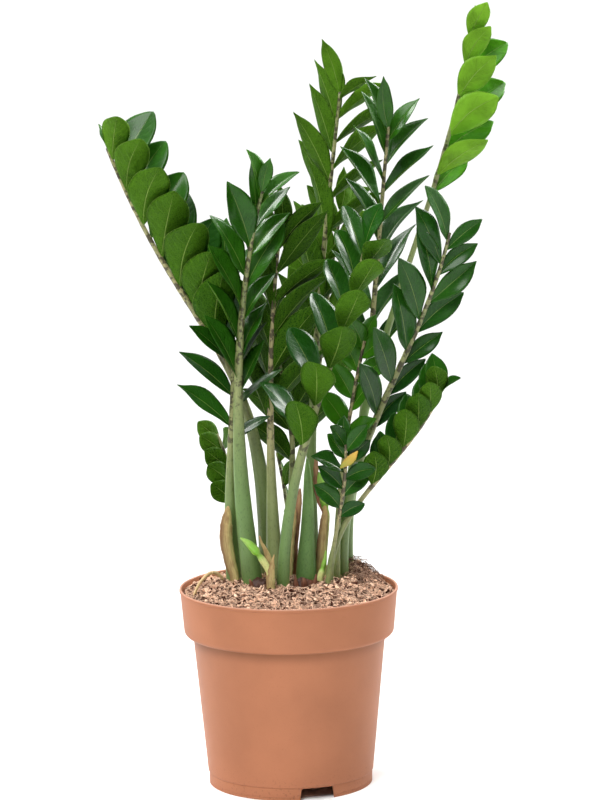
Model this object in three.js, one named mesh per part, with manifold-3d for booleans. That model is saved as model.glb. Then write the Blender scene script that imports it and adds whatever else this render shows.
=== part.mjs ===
// A ZZ plant (Zamioculcas zamiifolia) in a terracotta-coloured nursery pot.
//
// Units are millimetres, +Z is up and the pot stands on z = 0. The viewer looks along +Y, so
// +X is to the right and -Y is to the front. Every shape is made round the pot's own axis; the
// group that is exported then moves the plant so that the middle of its whole plan lies at x = y = 0.

import * as THREE from "three";
import { mergeVertices } from "three/addons/utils/BufferGeometryUtils.js";
import Module from "manifold-3d";

const wasm = await Module();
wasm.setup();

// ---------------------------------------------------------------- driving dimensions

const POT_AXIS = { x: -21.4, y: -25 }; // where the pot's axis stands in the part's frame
const GAP = 0.3; // what parts two pieces that stand in each other

const POT = {
  height: 191,
  rimRadius: 105,
  bandHeight: 45, // the deep band under the rim
  bandFootRadius: 101,
  bandFootRounding: 5,
  shoulderRadius: 92.5, // the body, just under the band
  baseRadius: 79.8,
  wall: 1.4,
  rimBead: 2.4, // the thickened lip's height and width
  lip: 0.8, // how far its edges are rounded off
  ledgeHeight: 12.8, // the fine line over the foot ring
  footHeight: 12,
  footInset: 1,
  footWall: 2.4,
  floorHeight: 14, // underside of the raised floor
  floorThickness: 2,
  sides: 36,
};
const NOTCH = { count: 3, width: 35, topWidth: 32, height: 11.5, corner: 1.5, depth: 24, firstAngle: -71 };
const DRAIN = { count: 5, radius: 4.5, ring: 48, sides: 6 };

const SOIL = {
  edgeHeight: 185.5,
  mound: 13, // rise of the middle over the edge
  heap: { x: 68, y: 42, height: 17, spread: 24 }, // thrown up at the right, to the back
  lump: 1.6,
  rings: [24, 50, 74, 92],
};

const STEM_ROOT = 165; // height at which every stem's foot ends, down in the soil
const STEM_TIP = 1.4; // radius at the tip of every frond's stem
const STEM_SIDES = 6;
const STEM_RINGS = 9;
const CROWDING = 1.3; // how much closer the leaflets stand towards a frond's tip
const RIGHT = 1;
const LEFT = -1;
const LEFT_LAG = 0.4; // how far up a left leaflet stands from its right one, as a share of a pair's step
const TERMINAL_ANGLE = 6; // of the one at the tip
const LAST_ROOT = 0.995; // where that one grows, so that it starts inside the stem
const MIDDLE_GROWTH = 0.08; // how much larger the middle leaflets are than the ends say
const UNEVEN = { angle: 5, fold: 5, twist: 8, length: 0.07 }; // degrees, and a share of the length
const BLADE = {
  rows: [0.1, 0.35, 0.65, 0.88], // where the sections lie along its length
  smallRows: [0.14, 0.48, 0.82], // the same on a blade under smallLength
  smallLength: 46,
  thickness: 1.6, // at the midrib
  fullness: 0.85, // under 1 the outline is rounder than a sine
  keel: 0.18, // rise of the margins over the midrib, as a share of the half width
  droop: 0.07, // fall of the tip, as a share of the length
  clearance: 0.8, // room kept round it when it is bent clear of the others
};

// ---------------------------------------------------------------- the fronds
// One entry a frond. foot, low, high and tip are the points of a cubic Bezier curve; foot has no
// height, as all feet end at STEM_ROOT. radius is the swollen foot's, waist the slender stem's over
// it and swell how far up the swelling goes (as a share of the curve).
// leaves: the leaflets along each side. from is where they start on the curve. Pairs of numbers run
// from the lowest leaflet to the topmost. angles are from the stem, twists are about a leaflet's own
// line (below 0 its upper face turns to the frond's tip) and width is a share of the length. face is
// the compass direction that the frond's upper side looks to (0 is the viewer, 90 is +X), fold is how
// far its two ranks rise from flat, and bulge moves a leaflet's widest place towards its tip. left is
// what the left rank has instead, as seen on the upper side. posed is what a single leaflet has of its
// own, by its place from the foot: a change of its angle, a change of its twist and a share of its size.

const FRONDS = [
  {
    name: "frond_left",
    curve: { foot: [-20, 30], low: [-15, 35, 435], high: [-85, -10, 405], tip: [-166, 0, 615] },
    stem: { radius: 9.5, waist: 5.4, swell: 0.28 },
    leaves: {
      pairs: 7, from: 0.5, lengths: [80, 62], angles: [42, 60], twists: [-26, -26], width: 0.52,
      face: [98, 72], fold: [68, 60], bulge: 1.3, terminal: 0.45,
      left: { lengths: [84, 58], angles: [50, 36] },
      posed: { 9: [4, 0, 1.05], 11: [6, 0, 0.92], 13: [10, 0, 0.82] },
    },
  },
  {
    name: "frond_front_left",
    curve: { foot: [-30, -5], low: [-50, -10, 300], high: [-55, -10, 440], tip: [-20, -25, 575] },
    stem: { radius: 10.4, waist: 4.8, swell: 0.48 },
    leaves: {
      pairs: 7, from: 0.52, lengths: [58, 48], angles: [22, 31], twists: [-76, -62], width: 0.4,
      face: [32, 16], fold: [8, 8], bulge: 1.1,
      left: { lengths: [80, 54], angles: [30, 34], twists: [-38, -38] },
      posed: { 1: [0, 12, 1], 6: [0, 10, 1.2], 9: [-2, 36, 1.1], 14: [-8, 0, 0.8] },
    },
  },
  {
    name: "frond_pale_left",
    curve: { foot: [-50, 10], low: [-65, 10, 330], high: [-40, -20, 360], tip: [-55, 38, 500] },
    stem: { radius: 8, waist: 5.2, swell: 0.3 },
    leaves: {
      pairs: 6, from: 0.47, lengths: [68, 52], angles: [54, 36], twists: [-52, -52], width: 0.36,
      face: [-15, 20], fold: [12, 12],
    },
  },
  {
    name: "frond_centre_left",
    curve: { foot: [-11.5, 10], low: [-16, 10, 285], high: [-20, 0, 405], tip: [-5, 0, 525] },
    stem: { radius: 9, waist: 4.2, swell: 0.34 },
    leaves: {
      pairs: 6, from: 0.5, lengths: [88, 60], angles: [30, 28], twists: [-20, -20], width: 0.34,
      face: [165, 165], fold: [25, 25],
      left: { lengths: [86, 60], angles: [38, 38], twists: [-30, -20] },
      posed: { 3: [-6, 12, 1], 7: [6, -14, 0.92], 9: [-5, 0, 1.06] },
    },
  },
  {
    name: "frond_centre_back",
    curve: { foot: [0, 35], low: [0, 40, 310], high: [20, 10, 330], tip: [-20, 75, 440] },
    stem: { radius: 5, waist: 4, swell: 0.3 },
    leaves: {
      pairs: 5, from: 0.46, lengths: [62, 48], angles: [46, 34], twists: [-20, -20], width: 0.42,
      face: [190, 190], fold: [20, 20],
    },
  },
  {
    name: "frond_front_centre",
    curve: { foot: [-5, -25], low: [-10, -25, 315], high: [45, -45, 395], tip: [75, -60, 525] },
    stem: { radius: 6.6, waist: 6.4, swell: 0.3 },
    leaves: {
      pairs: 6, from: 0.43, lengths: [66, 52], angles: [34, 26], twists: [-52, -96], width: 0.52,
      face: [-66, -52], fold: [64, 0], bulge: 1.4,
      left: { angles: [38, 34], twists: [-74, -74] },
      posed: { 0: [-6, 0, 0.95], 1: [18, 0, 0.95], 6: [-4, 0, 0.95], 8: [-4, 0, 1], 10: [10, 0, 0.9] },
    },
  },
  {
    name: "frond_tall_back",
    curve: { foot: [25, 25], low: [15, 25, 330], high: [35, 55, 495], tip: [55, 65, 660] },
    stem: { radius: 8, waist: 4.6, swell: 0.3 },
    leaves: {
      pairs: 9, from: 0.5, lengths: [90, 60], angles: [27, 28], twists: [-16, -16], width: 0.34,
      face: [172, 172], fold: [26, 26],
      left: { lengths: [66, 60], angles: [46, 46], twists: [-40, -40] },
      posed: { 2: [-12, 0, 1.12], 6: [-8, 0, 1], 17: [0, 0, 0.8], 18: [24, 0, 1.1] },
    },
  },
  {
    name: "frond_tall_centre",
    curve: { foot: [40, 60], low: [80, 74, 320], high: [85, 52, 475], tip: [100, 25, 630] },
    stem: { radius: 7, waist: 4.2, swell: 0.3 },
    leaves: {
      pairs: 8, from: 0.5, lengths: [76, 54], angles: [46, 40], twists: [-84, -92], width: 0.34,
      face: [25, 25], fold: [0, 0],
      left: { lengths: [78, 62], angles: [37, 20], twists: [-50, -50] },
      posed: { 14: [-4, 30, 0.85], 16: [-20, 0, 1.1] },
    },
  },
  {
    name: "frond_thin_centre",
    curve: { foot: [46, 4], low: [44, 6, 260], high: [55, 10, 340], tip: [75, -10, 430] },
    stem: { radius: 4.5, waist: 3, swell: 0.3 },
    leaves: {
      pairs: 4, from: 0.62, lengths: [44, 34], angles: [46, 34], twists: [-15, -15], width: 0.52,
      face: [-20, -20], fold: [20, 20],
    },
  },
  {
    name: "frond_tallest_right",
    curve: { foot: [60, 40], low: [35, 40, 350], high: [155, 75, 530], tip: [180, 50, 720] },
    stem: { radius: 7, waist: 4.8, swell: 0.3 },
    leaves: {
      pairs: 5, from: 0.72, lengths: [68, 50], angles: [56, 48], twists: [-34, -34], width: 0.48,
      face: [90, 84], fold: [54, 56], bulge: 1.1, terminal: 0.5,
      left: { lengths: [70, 44], angles: [42, 24] },
      posed: {
        0: [-28, -30, 0.8], 1: [0, -30, 0.95], 3: [0, 0, 1.1], 4: [4, 0, 1.1],
        7: [-6, 0, 0.9], 8: [0, 0, 0.6], 9: [-8, 0, 0.85],
      },
    },
  },
  {
    name: "frond_right",
    curve: { foot: [55, 20], low: [35, 20, 315], high: [125, -20, 400], tip: [155, -35, 535] },
    stem: { radius: 6.5, waist: 5, swell: 0.3 },
    leaves: {
      pairs: 7, from: 0.46, lengths: [48, 48], angles: [24, 38], twists: [-24, -24], width: 0.36,
      face: [35, 30], fold: [8, 8], bulge: 1.15,
      left: { lengths: [78, 62], angles: [40, 34], twists: [-18, -18] },
      posed: { 6: [0, 0, 1.2], 8: [0, 0, 1.15], 14: [-30, 0, 1.05] },
    },
  },
  {
    name: "frond_low_right",
    curve: { foot: [45, -10], low: [15, -10, 260], high: [115, -35, 310], tip: [145, -40, 385] },
    stem: { radius: 4, waist: 3.2, swell: 0.3 },
    leaves: {
      pairs: 6, from: 0.55, lengths: [47, 39], angles: [42, 36], twists: [-30, -30], width: 0.52,
      face: [-90, -84], fold: [62, 58], bulge: 1.2, terminal: 0.7,
    },
  },
  {
    name: "frond_small_right",
    curve: { foot: [35, -20], low: [35, -15, 215], high: [60, -25, 290], tip: [55, -35, 335] },
    stem: { radius: 3.5, waist: 2.4, swell: 0.3 },
    leaves: {
      pairs: 5, from: 0.56, lengths: [38, 30], angles: [50, 38], twists: [-30, -10], width: 0.5,
      face: [10, 0], fold: [15, 15], bulge: 1.15,
      left: { angles: [56, 34], twists: [-10, -40] },
      posed: { 0: [0, 20, 0.8], 2: [-10, 30, 1], 5: [12, -30, 1.1], 7: [-12, 20, 1] },
    },
  },
  {
    name: "frond_small_left",
    curve: { foot: [-52, 40], low: [-52, 40, 220], high: [-46, 45, 285], tip: [-68, 60, 330] },
    stem: { radius: 3.5, waist: 2.4, swell: 0.3 },
    leaves: {
      pairs: 5, from: 0.58, lengths: [34, 26], angles: [50, 36], twists: [-15, -15], width: 0.66,
      face: [-120, -120], fold: [25, 25], bulge: 1.1,
    },
  },
  {
    name: "frond_small_back",
    curve: { foot: [-5, 60], low: [5, 45, 225], high: [0, 80, 260], tip: [-10, 95, 305] },
    stem: { radius: 3.5, waist: 2.4, swell: 0.3 },
    leaves: {
      pairs: 3, from: 0.45, lengths: [32, 24], angles: [48, 34], twists: [-15, -15], width: 0.5,
      face: [110, 110], fold: [20, 20],
    },
  },
  {
    name: "frond_back",
    curve: { foot: [20, 62], low: [20, 62, 330], high: [30, 70, 400], tip: [55, 125, 540] },
    stem: { radius: 6, waist: 4.2, swell: 0.3 },
    leaves: {
      pairs: 6, from: 0.45, lengths: [76, 52], angles: [46, 34], twists: [-20, -20], width: 0.4,
      face: [200, 200], fold: [18, 18],
    },
  },
];

// The order in which the fronds get their leaflets: the ones in front first, which then keep
// their places best.
const LEAFING_ORDER = [
  "frond_front_centre",
  "frond_front_left",
  "frond_left",
  "frond_low_right",
  "frond_right",
  "frond_tallest_right",
  "frond_tall_back",
  "frond_tall_centre",
  "frond_centre_left",
  "frond_pale_left",
  "frond_thin_centre",
  "frond_small_right",
  "frond_centre_back",
  "frond_small_left",
  "frond_small_back",
  "frond_back",
];

// What a leaflet tries in order until it is clear of its neighbours: a turn across its blade (swing)
// and out of it (tilt), in degrees, and a smaller size, the ones that change it least first.
const BENDS = [0, 9, -9, 18, -18, 27, -27, 36, -36];
const SIZES = [1, 0.85, 0.7, 0.55, 0.4];
const SIZE_COST = 100; // degrees of turn that a leaflet would rather take than lose its whole size
const TURNS = SIZES.flatMap((size) => BENDS.flatMap((swing) => BENDS.map((tilt) => ({ swing, tilt, size }))));
const turnCost = ({ swing, tilt, size }) => Math.hypot(swing, tilt) + SIZE_COST * (1 - size);
TURNS.sort((a, b) => turnCost(a) - turnCost(b));

// ---------------------------------------------------------------- what else stands in the soil
// Each entry is a tapered stalk through its points, given as [x, y, height, half width]; depth
// squeezes it front to back, as the dry papery sheaths are that new shoots have left behind.

const STALKS = [
  {
    name: "sheath_left",
    finish: "papery",
    depth: 0.42,
    points: [
      [-50, -5, 165, 3.6],
      [-51.5, -5, 199, 4.4],
      [-55, -5, 214, 5.6],
      [-59, -5, 235, 6.4],
      [-59, -5, 253, 6],
      [-57.5, -4.5, 265, 3.4],
      [-57, -4, 271, 0.8],
    ],
  },
  {
    name: "sheath_front",
    finish: "papery",
    depth: 0.45,
    points: [
      [-16.5, -33, 165, 4],
      [-17, -33, 201, 4.4],
      [-17.5, -33, 214, 4.4],
      [-19, -34, 226, 3.4],
      [-22, -34.5, 235, 2],
      [-25, -35, 241, 1.2],
      [-27, -36, 248, 0.8],
    ],
  },
  {
    name: "sheath_middle",
    finish: "papery",
    depth: 0.5,
    points: [
      [3, 9, 165, 4.6],
      [3, 9, 200, 5],
      [5, 9, 232, 5],
      [8, 9, 254, 4.4],
      [10.5, 9, 271, 3.4],
      [12, 9, 285, 0.9],
    ],
  },
  {
    name: "sheath_right",
    finish: "papery",
    depth: 0.3,
    points: [
      [28, 6, 165, 3.8],
      [28.5, 6, 201, 4.2],
      [31, 5.5, 218, 5],
      [33, 5, 237, 4.8],
      [35, 4, 255, 4],
      [36, 3, 269, 1.6],
    ],
  },
  {
    name: "shoot_front",
    finish: "shoot",
    points: [
      [-16, -39, 165, 2.4],
      [-17, -39.5, 205, 2.6],
      [-20, -40, 218, 3.2],
      [-26, -41, 228, 3.6],
      [-31, -42, 235, 4.4],
      [-37, -43, 242, 3.6],
      [-45, -44, 248, 0.7],
    ],
  },
  {
    name: "shoot_right",
    finish: "shoot",
    points: [
      [33, 13, 165, 2.6],
      [34.5, 13, 215, 2.6],
      [37, 12, 250, 3],
      [36, 10.5, 266, 4.6],
      [33, 9, 283, 5],
      [31, 8, 294, 3.6],
      [30, 8, 301, 0.8],
    ],
  },
  {
    name: "shoot_small",
    finish: "shoot",
    points: [
      [30, -12, 165, 3],
      [30, -12, 198, 3],
      [32, -12, 208, 3.2],
      [35, -12, 219, 2],
      [36, -12, 228, 0.6],
    ],
  },
  {
    name: "spear",
    finish: "stem",
    points: [
      [17, -4, 165, 9.6],
      [17, -4, 202, 10],
      [18, -4, 227, 8.4],
      [19, -4, 248, 6.8],
      [19.5, -4, 276, 5],
      [19.5, -4, 300, 3.6],
      [19, -4, 317, 0.7],
    ],
  },
  {
    name: "surface_root",
    finish: "root",
    points: [
      [-61, 17, 184, 2.2],
      [-66, 12, 199, 2.1],
      [-74, 6, 204, 1.9],
      [-82, -4, 200, 1.7],
      [-88, -14, 193, 1.4],
      [-92, -24, 184, 1.1],
    ],
  },
];
const STALK_SIDES = 5;

// The tops of the thick underground stems that show between the stems' feet.
const TUBERS = [
  { name: "tuber_left", centre: [-27, -16, 190], radii: [12, 10, 11] },
  { name: "tuber_right", centre: [15, -12, 191], radii: [11, 9, 9] },
];
const TUBER_SIDES = 10;

// ---------------------------------------------------------------- small helpers

const vec = (x, y, z) => new THREE.Vector3(x, y, z);
const lerp = THREE.MathUtils.lerp;
const radians = THREE.MathUtils.degToRad;

// A repeatable number from -1 to 1 for each n.
function noise(n) {
  const s = Math.sin(n * 12.9898) * 43758.5453;
  return 2 * (s - Math.floor(s)) - 1;
}

function toSolid(geometry) {
  const bare = geometry.clone();
  bare.deleteAttribute("normal");
  bare.deleteAttribute("uv");
  const merged = mergeVertices(bare, 1e-4);
  return new wasm.Manifold(
    new wasm.Mesh({
      numProp: 3,
      vertProperties: new Float32Array(merged.attributes.position.array),
      triVerts: new Uint32Array(merged.index.array),
    }),
  );
}

function toGeometry(solid) {
  const mesh = solid.getMesh();
  const geometry = new THREE.BufferGeometry();
  geometry.setAttribute("position", new THREE.BufferAttribute(mesh.vertProperties, 3));
  geometry.setIndex(new THREE.BufferAttribute(mesh.triVerts, 1));
  geometry.computeVertexNormals();
  return geometry;
}

// The solid's main body, with any hollow that joining has sealed filled and any scrap dropped.
function whole(solid) {
  return solid.decompose().reduce((largest, body) => (body.volume() > largest.volume() ? body : largest));
}

const plant = new THREE.Group();
plant.position.set(POT_AXIS.x, POT_AXIS.y, 0);

function addPiece(name, solid, material) {
  const mesh = new THREE.Mesh(toGeometry(whole(solid)), material);
  mesh.name = name;
  plant.add(mesh);
}

// A LatheGeometry profile is given as [radius, height] pairs and turned to stand on +Z.
function turned(profile, sides) {
  const points = profile.map(([radius, height]) => new THREE.Vector2(radius, height));
  return new THREE.LatheGeometry(points, sides).rotateX(Math.PI / 2);
}

// ---------------------------------------------------------------- materials

const finish = (color, roughness) => new THREE.MeshStandardMaterial({ color, roughness, metalness: 0 });
const PLASTIC = finish(0xc98b6b, 0.55);
const COIR = finish(0x7a5638, 1);
const TUBER = finish(0x6b3f26, 0.7);
const GREEN = finish(0x3d7a36, 0.3);
const STALK_MATERIALS = {
  papery: finish(0x9a7346, 0.8),
  root: finish(0xd9c49a, 0.8),
  shoot: finish(0x8fbb3a, 0.4),
  stem: finish(0x5f8f4c, 0.45),
};

// ---------------------------------------------------------------- pot

// Radius of the pot's tapered body at a height.
function bodyRadius(height) {
  const top = POT.height - POT.bandHeight;
  return lerp(POT.baseRadius, POT.shoulderRadius, (height - POT.ledgeHeight) / (top - POT.ledgeHeight));
}

// The quarter turn at the foot of the band, as seen at a distance inside its outer face.
function bandFoot(inside) {
  const points = [];
  const centre = POT.bandFootRadius - POT.bandFootRounding;
  const height = POT.height - POT.bandHeight + POT.bandFootRounding;
  const rounding = POT.bandFootRounding - inside;
  for (const angle of [-90, -45, 0]) {
    const a = radians(angle);
    points.push([centre + rounding * Math.cos(a), height + rounding * Math.sin(a)]);
  }
  return points;
}

function pot() {
  const { height, rimRadius, wall, rimBead, lip, footInset, footWall, floorHeight, floorThickness } = POT;
  const bandTop = height - POT.bandHeight;
  const footRadius = POT.baseRadius - footInset;
  const floorTop = floorHeight + floorThickness;
  const shell = turned(
    [
      [0, floorHeight],
      [footRadius - footWall, floorHeight],
      [footRadius - footWall, 0],
      [footRadius, 0],
      [footRadius, POT.footHeight],
      [POT.baseRadius, POT.ledgeHeight],
      [POT.shoulderRadius, bandTop],
      ...bandFoot(0),
      [rimRadius - lip, height - rimBead - lip],
      [rimRadius, height - rimBead],
      [rimRadius, height - lip],
      [rimRadius - lip, height],
      [rimRadius - rimBead + lip, height],
      [rimRadius - rimBead, height - lip],
      ...bandFoot(wall).reverse(),
      [POT.shoulderRadius - wall, bandTop + wall],
      [bodyRadius(floorTop) - wall, floorTop],
      [0, floorTop],
    ],
    POT.sides,
  );
  let solid = toSolid(shell);

  const outline = new THREE.Shape();
  outline.moveTo(-NOTCH.width / 2, -1);
  outline.lineTo(NOTCH.width / 2, -1);
  outline.lineTo(NOTCH.topWidth / 2, NOTCH.height - NOTCH.corner);
  outline.lineTo(NOTCH.topWidth / 2 - NOTCH.corner, NOTCH.height);
  outline.lineTo(NOTCH.corner - NOTCH.topWidth / 2, NOTCH.height);
  outline.lineTo(-NOTCH.topWidth / 2, NOTCH.height - NOTCH.corner);
  const notch = new THREE.ExtrudeGeometry(outline, { depth: NOTCH.depth, bevelEnabled: false });
  notch.rotateX(Math.PI / 2).translate(0, footRadius + NOTCH.depth / 3, 0);
  for (let i = 0; i < NOTCH.count; i++) {
    const angle = radians(NOTCH.firstAngle - 90 + (360 / NOTCH.count) * i);
    solid = solid.subtract(toSolid(notch.clone().rotateZ(angle)));
  }

  const drain = new THREE.CylinderGeometry(DRAIN.radius, DRAIN.radius, 4 * floorThickness, DRAIN.sides);
  drain.rotateX(Math.PI / 2).translate(DRAIN.ring, 0, floorHeight);
  for (let i = 0; i < DRAIN.count; i++) {
    solid = solid.subtract(toSolid(drain.clone().rotateZ(((i + 0.5) / DRAIN.count) * 2 * Math.PI)));
  }
  return solid;
}

// ---------------------------------------------------------------- soil

// Height of the soil's surface over a place: a low mound with lumps and a heap, level at the wall.
function soilTop(x, y, edgeRadius) {
  const reach = Math.min(Math.hypot(x, y) / edgeRadius, 1);
  const inside = 1 - reach ** 3;
  const { heap, lump } = SOIL;
  const away = Math.hypot(x - heap.x, y - heap.y) / heap.spread;
  const lumps = Math.sin(x / 7 + 1) * Math.cos(y / 8) + Math.sin((x + y) / 13);
  const uneven = heap.height * Math.exp(-away * away) + lump * lumps;
  return SOIL.edgeHeight + SOIL.mound * inside + uneven * Math.sqrt(inside);
}

// The soil fills the pot to GAP from its floor and wall.
function soil() {
  const { height, rimRadius, rimBead, wall, bandHeight } = POT;
  const floor = POT.floorHeight + POT.floorThickness + GAP;
  const foot = bandFoot(wall + GAP);
  const top = foot[foot.length - 1];
  const share = (SOIL.edgeHeight - top[1]) / (height - POT.lip - top[1]);
  const edge = lerp(top[0], rimRadius - rimBead - GAP, share);
  const body = turned(
    [
      [0, floor],
      [bodyRadius(floor) - wall - GAP, floor],
      [POT.shoulderRadius - wall - GAP, height - bandHeight + wall + GAP],
      ...foot,
      [edge, SOIL.edgeHeight],
      ...SOIL.rings.toReversed().map((ring) => [ring, height]),
      [0, height],
    ],
    POT.sides,
  );
  const position = body.attributes.position;
  for (let i = 0; i < position.count; i++) {
    if (position.getZ(i) < height - GAP) continue;
    position.setZ(i, soilTop(position.getX(i), position.getY(i), edge));
  }
  return toSolid(body);
}

// A smooth mound, as high at its middle as its radii say.
function tuber({ centre, radii }, extra = 0) {
  const ball = new THREE.SphereGeometry(1, TUBER_SIDES, TUBER_SIDES / 2).rotateX(Math.PI / 2);
  ball.scale(...radii.map((radius) => radius + extra)).translate(...centre);
  return toSolid(ball);
}

// ---------------------------------------------------------------- stems and other tapered stalks

function bezier({ foot, low, high, tip }) {
  const root = vec(foot[0], foot[1], STEM_ROOT);
  return new THREE.CubicBezierCurve3(root, vec(...low), vec(...high), vec(...tip));
}

// The radius of a frond's stem, thick at its foot and slender over it.
function stemRadius({ radius, waist, swell }, t) {
  const slender = lerp(waist, STEM_TIP, t);
  return slender + (radius - waist) * Math.exp(-((t / swell) ** 2));
}

// A closed tube along a curve: a cylinder whose rings are moved onto the curve. radiusAt gives the
// radius, depth squeezes the tube front to back, and extra makes it that much fatter and longer, as
// the plain hole that it stands in.
function stalk({ curve, radiusAt, rings = STEM_RINGS, sides = STEM_SIDES, depth = 1, extra = 0 }) {
  const tube = new THREE.CylinderGeometry(1, 1, 1, sides, rings);
  const position = tube.attributes.position;
  for (let i = 0; i < position.count; i++) {
    const t = THREE.MathUtils.clamp(position.getY(i) + 0.5, 0, 1);
    const along = curve.getTangent(t);
    const across = vec(0, 1, 0).cross(along).normalize();
    const back = across.clone().cross(along);
    const radius = radiusAt(t) + extra;
    const point = curve.getPoint(t);
    point.addScaledVector(across, position.getX(i) * radius);
    point.addScaledVector(back, position.getZ(i) * radius * depth);
    if (t === 0) point.addScaledVector(along, -extra);
    if (t === 1) point.addScaledVector(along, extra);
    position.setXYZ(i, point.x, point.y, point.z);
  }
  return toSolid(tube);
}

// What stalk needs for an entry of STALKS.
function throughPoints({ points, depth }) {
  const places = points.map(([x, y, z]) => vec(x, y, z));
  return {
    curve: new THREE.CatmullRomCurve3(places, false, "catmullrom", 0.5),
    radiusAt: (t) => {
      const at = t * (points.length - 1);
      const i = Math.min(Math.floor(at), points.length - 2);
      return lerp(points[i][3], points[i + 1][3], at - i);
    },
    rings: points.length - 1,
    sides: STALK_SIDES,
    depth,
  };
}

// ---------------------------------------------------------------- leaflets

// Half of a blade's width at u along it, as a share of its greatest half width.
function bladeShape(u, bulge) {
  return Math.sin(Math.PI * u ** bulge) ** BLADE.fullness;
}

// Where every leaflet of a frond grows, which way it lies and how large it is.
function leafletPlaces(frond, seed) {
  const { pairs, from, width, face, fold, bulge = 1, terminal = 0.9, posed = {} } = frond.leaves;
  const ranks = { [RIGHT]: frond.leaves, [LEFT]: { ...frond.leaves, ...frond.leaves.left } };
  const curve = bezier(frond.curve);
  const places = [];
  for (let k = 0; k <= 2 * pairs; k++) {
    const last = k === 2 * pairs;
    const side = k % 2 ? LEFT : RIGHT;
    const { lengths, angles, twists } = ranks[side];
    const [bend, roll, grown] = posed[k] ?? [0, 0, 1];
    const step = last ? pairs : Math.floor(k / 2) + (k % 2) * LEFT_LAG;
    const share = step / pairs; // 0 at the lowest leaflet and 1 at the tip
    const t = 1 - (1 - from) * (1 - share) ** CROWDING;
    const along = curve.getTangent(t);
    const azimuth = radians(lerp(...face, share));
    const facing = vec(Math.sin(azimuth), -Math.cos(azimuth), 0);
    const upper = facing.clone().addScaledVector(along, -facing.dot(along)).normalize();
    const across = along.clone().cross(upper);
    const usualAngle = last ? TERMINAL_ANGLE : lerp(...angles, share) + UNEVEN.angle * noise(seed + k);
    const angle = radians(usualAngle + bend);
    const rise = radians(lerp(...fold, share) + UNEVEN.fold * noise(seed + k + 0.3));
    const outward = across.clone().multiplyScalar(side * Math.cos(rise));
    outward.addScaledVector(upper, Math.sin(rise));
    const direction = along.clone().multiplyScalar(Math.cos(angle));
    direction.addScaledVector(outward, Math.sin(angle));
    const flat = along.clone().addScaledVector(direction, -along.dot(direction)).normalize();
    const normal = direction.clone().cross(flat).multiplyScalar(side);
    if (last) {
      flat.copy(across);
      normal.copy(direction).cross(flat).negate();
    }
    const usualTwist = last ? 0 : lerp(...twists, share) + UNEVEN.twist * noise(seed + k + 0.9);
    const usual = lerp(...lengths, share) * (last ? terminal : 1) * grown;
    const fuller = MIDDLE_GROWTH * Math.sin(Math.PI * share);
    const length = usual * (1 + fuller + UNEVEN.length * noise(seed + k + 0.6));
    places.push({
      root: curve.getPoint(Math.min(t, LAST_ROOT)),
      direction,
      normal,
      twist: radians(usualTwist + roll),
      length,
      width: length * width,
      bulge,
      side,
    });
  }
  return places;
}

// One closed blade: a lens-shaped section at each row, from a point in the stem to the tip. Both
// faces have their triangles split the same way.
function blade(place, turn, extra = 0) {
  const direction = place.direction.clone();
  const normal = place.normal.clone();
  direction.applyAxisAngle(normal, radians(turn.swing) * place.side);
  const flat = normal.clone().cross(direction).normalize();
  direction.applyAxisAngle(flat, radians(turn.tilt));
  normal.applyAxisAngle(flat, radians(turn.tilt));
  normal.applyAxisAngle(direction, place.twist * place.side);
  flat.crossVectors(normal, direction);

  const length = place.length * turn.size;
  const rowsAt = place.length < BLADE.smallLength ? BLADE.smallRows : BLADE.rows;
  const half = (place.width * turn.size) / 2;
  const droop = BLADE.droop * length;
  const points = [];
  const put = (u, sideways, up) => {
    const p = place.root.clone().addScaledVector(direction, u * length + (u > 0 ? extra : 0));
    p.addScaledVector(flat, sideways).addScaledVector(normal, up - droop * u * u);
    points.push(p.x, p.y, p.z);
  };
  put(0, 0, 0);
  for (const u of rowsAt) {
    const wide = half * bladeShape(u, place.bulge) + extra;
    const thick = BLADE.thickness / 2 + extra;
    put(u, -wide, BLADE.keel * wide);
    put(u, 0, thick);
    put(u, wide, BLADE.keel * wide);
    put(u, 0, -thick);
  }
  put(1, 0, 0);

  const rows = rowsAt.length;
  const tip = 4 * rows + 1;
  const left = (row) => 1 + 4 * row;
  const upper = (row) => 2 + 4 * row;
  const right = (row) => 3 + 4 * row;
  const under = (row) => 4 + 4 * row;
  const faces = [];
  const end = rows - 1;
  faces.push([0, left(0), upper(0)], [0, upper(0), right(0)]);
  faces.push([0, right(0), under(0)], [0, under(0), left(0)]);
  for (let i = 0; i < end; i++) {
    const j = i + 1;
    faces.push([left(i), left(j), upper(j)], [left(i), upper(j), upper(i)]);
    faces.push([right(i), upper(j), right(j)], [right(i), upper(i), upper(j)]);
    faces.push([left(i), under(j), left(j)], [left(i), under(i), under(j)]);
    faces.push([right(i), right(j), under(j)], [right(i), under(j), under(i)]);
  }
  faces.push([tip, upper(end), left(end)], [tip, right(end), upper(end)]);
  faces.push([tip, under(end), right(end)], [tip, left(end), under(end)]);

  const geometry = new THREE.BufferGeometry();
  geometry.setAttribute("position", new THREE.Float32BufferAttribute(points, 3));
  geometry.setIndex(faces.flat());
  return toSolid(geometry);
}

// ---------------------------------------------------------------- keeping clear

function boxesMeet(a, b) {
  return [0, 1, 2].every((i) => a.min[i] < b.max[i] && b.min[i] < a.max[i]);
}

function isClear(solid, others) {
  const box = solid.boundingBox();
  return others.every((other) => !boxesMeet(box, other.box) || solid.intersect(other.solid).isEmpty());
}

const withBox = (solid, owner) => ({ solid, owner, box: solid.boundingBox() });

// ---------------------------------------------------------------- building

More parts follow.
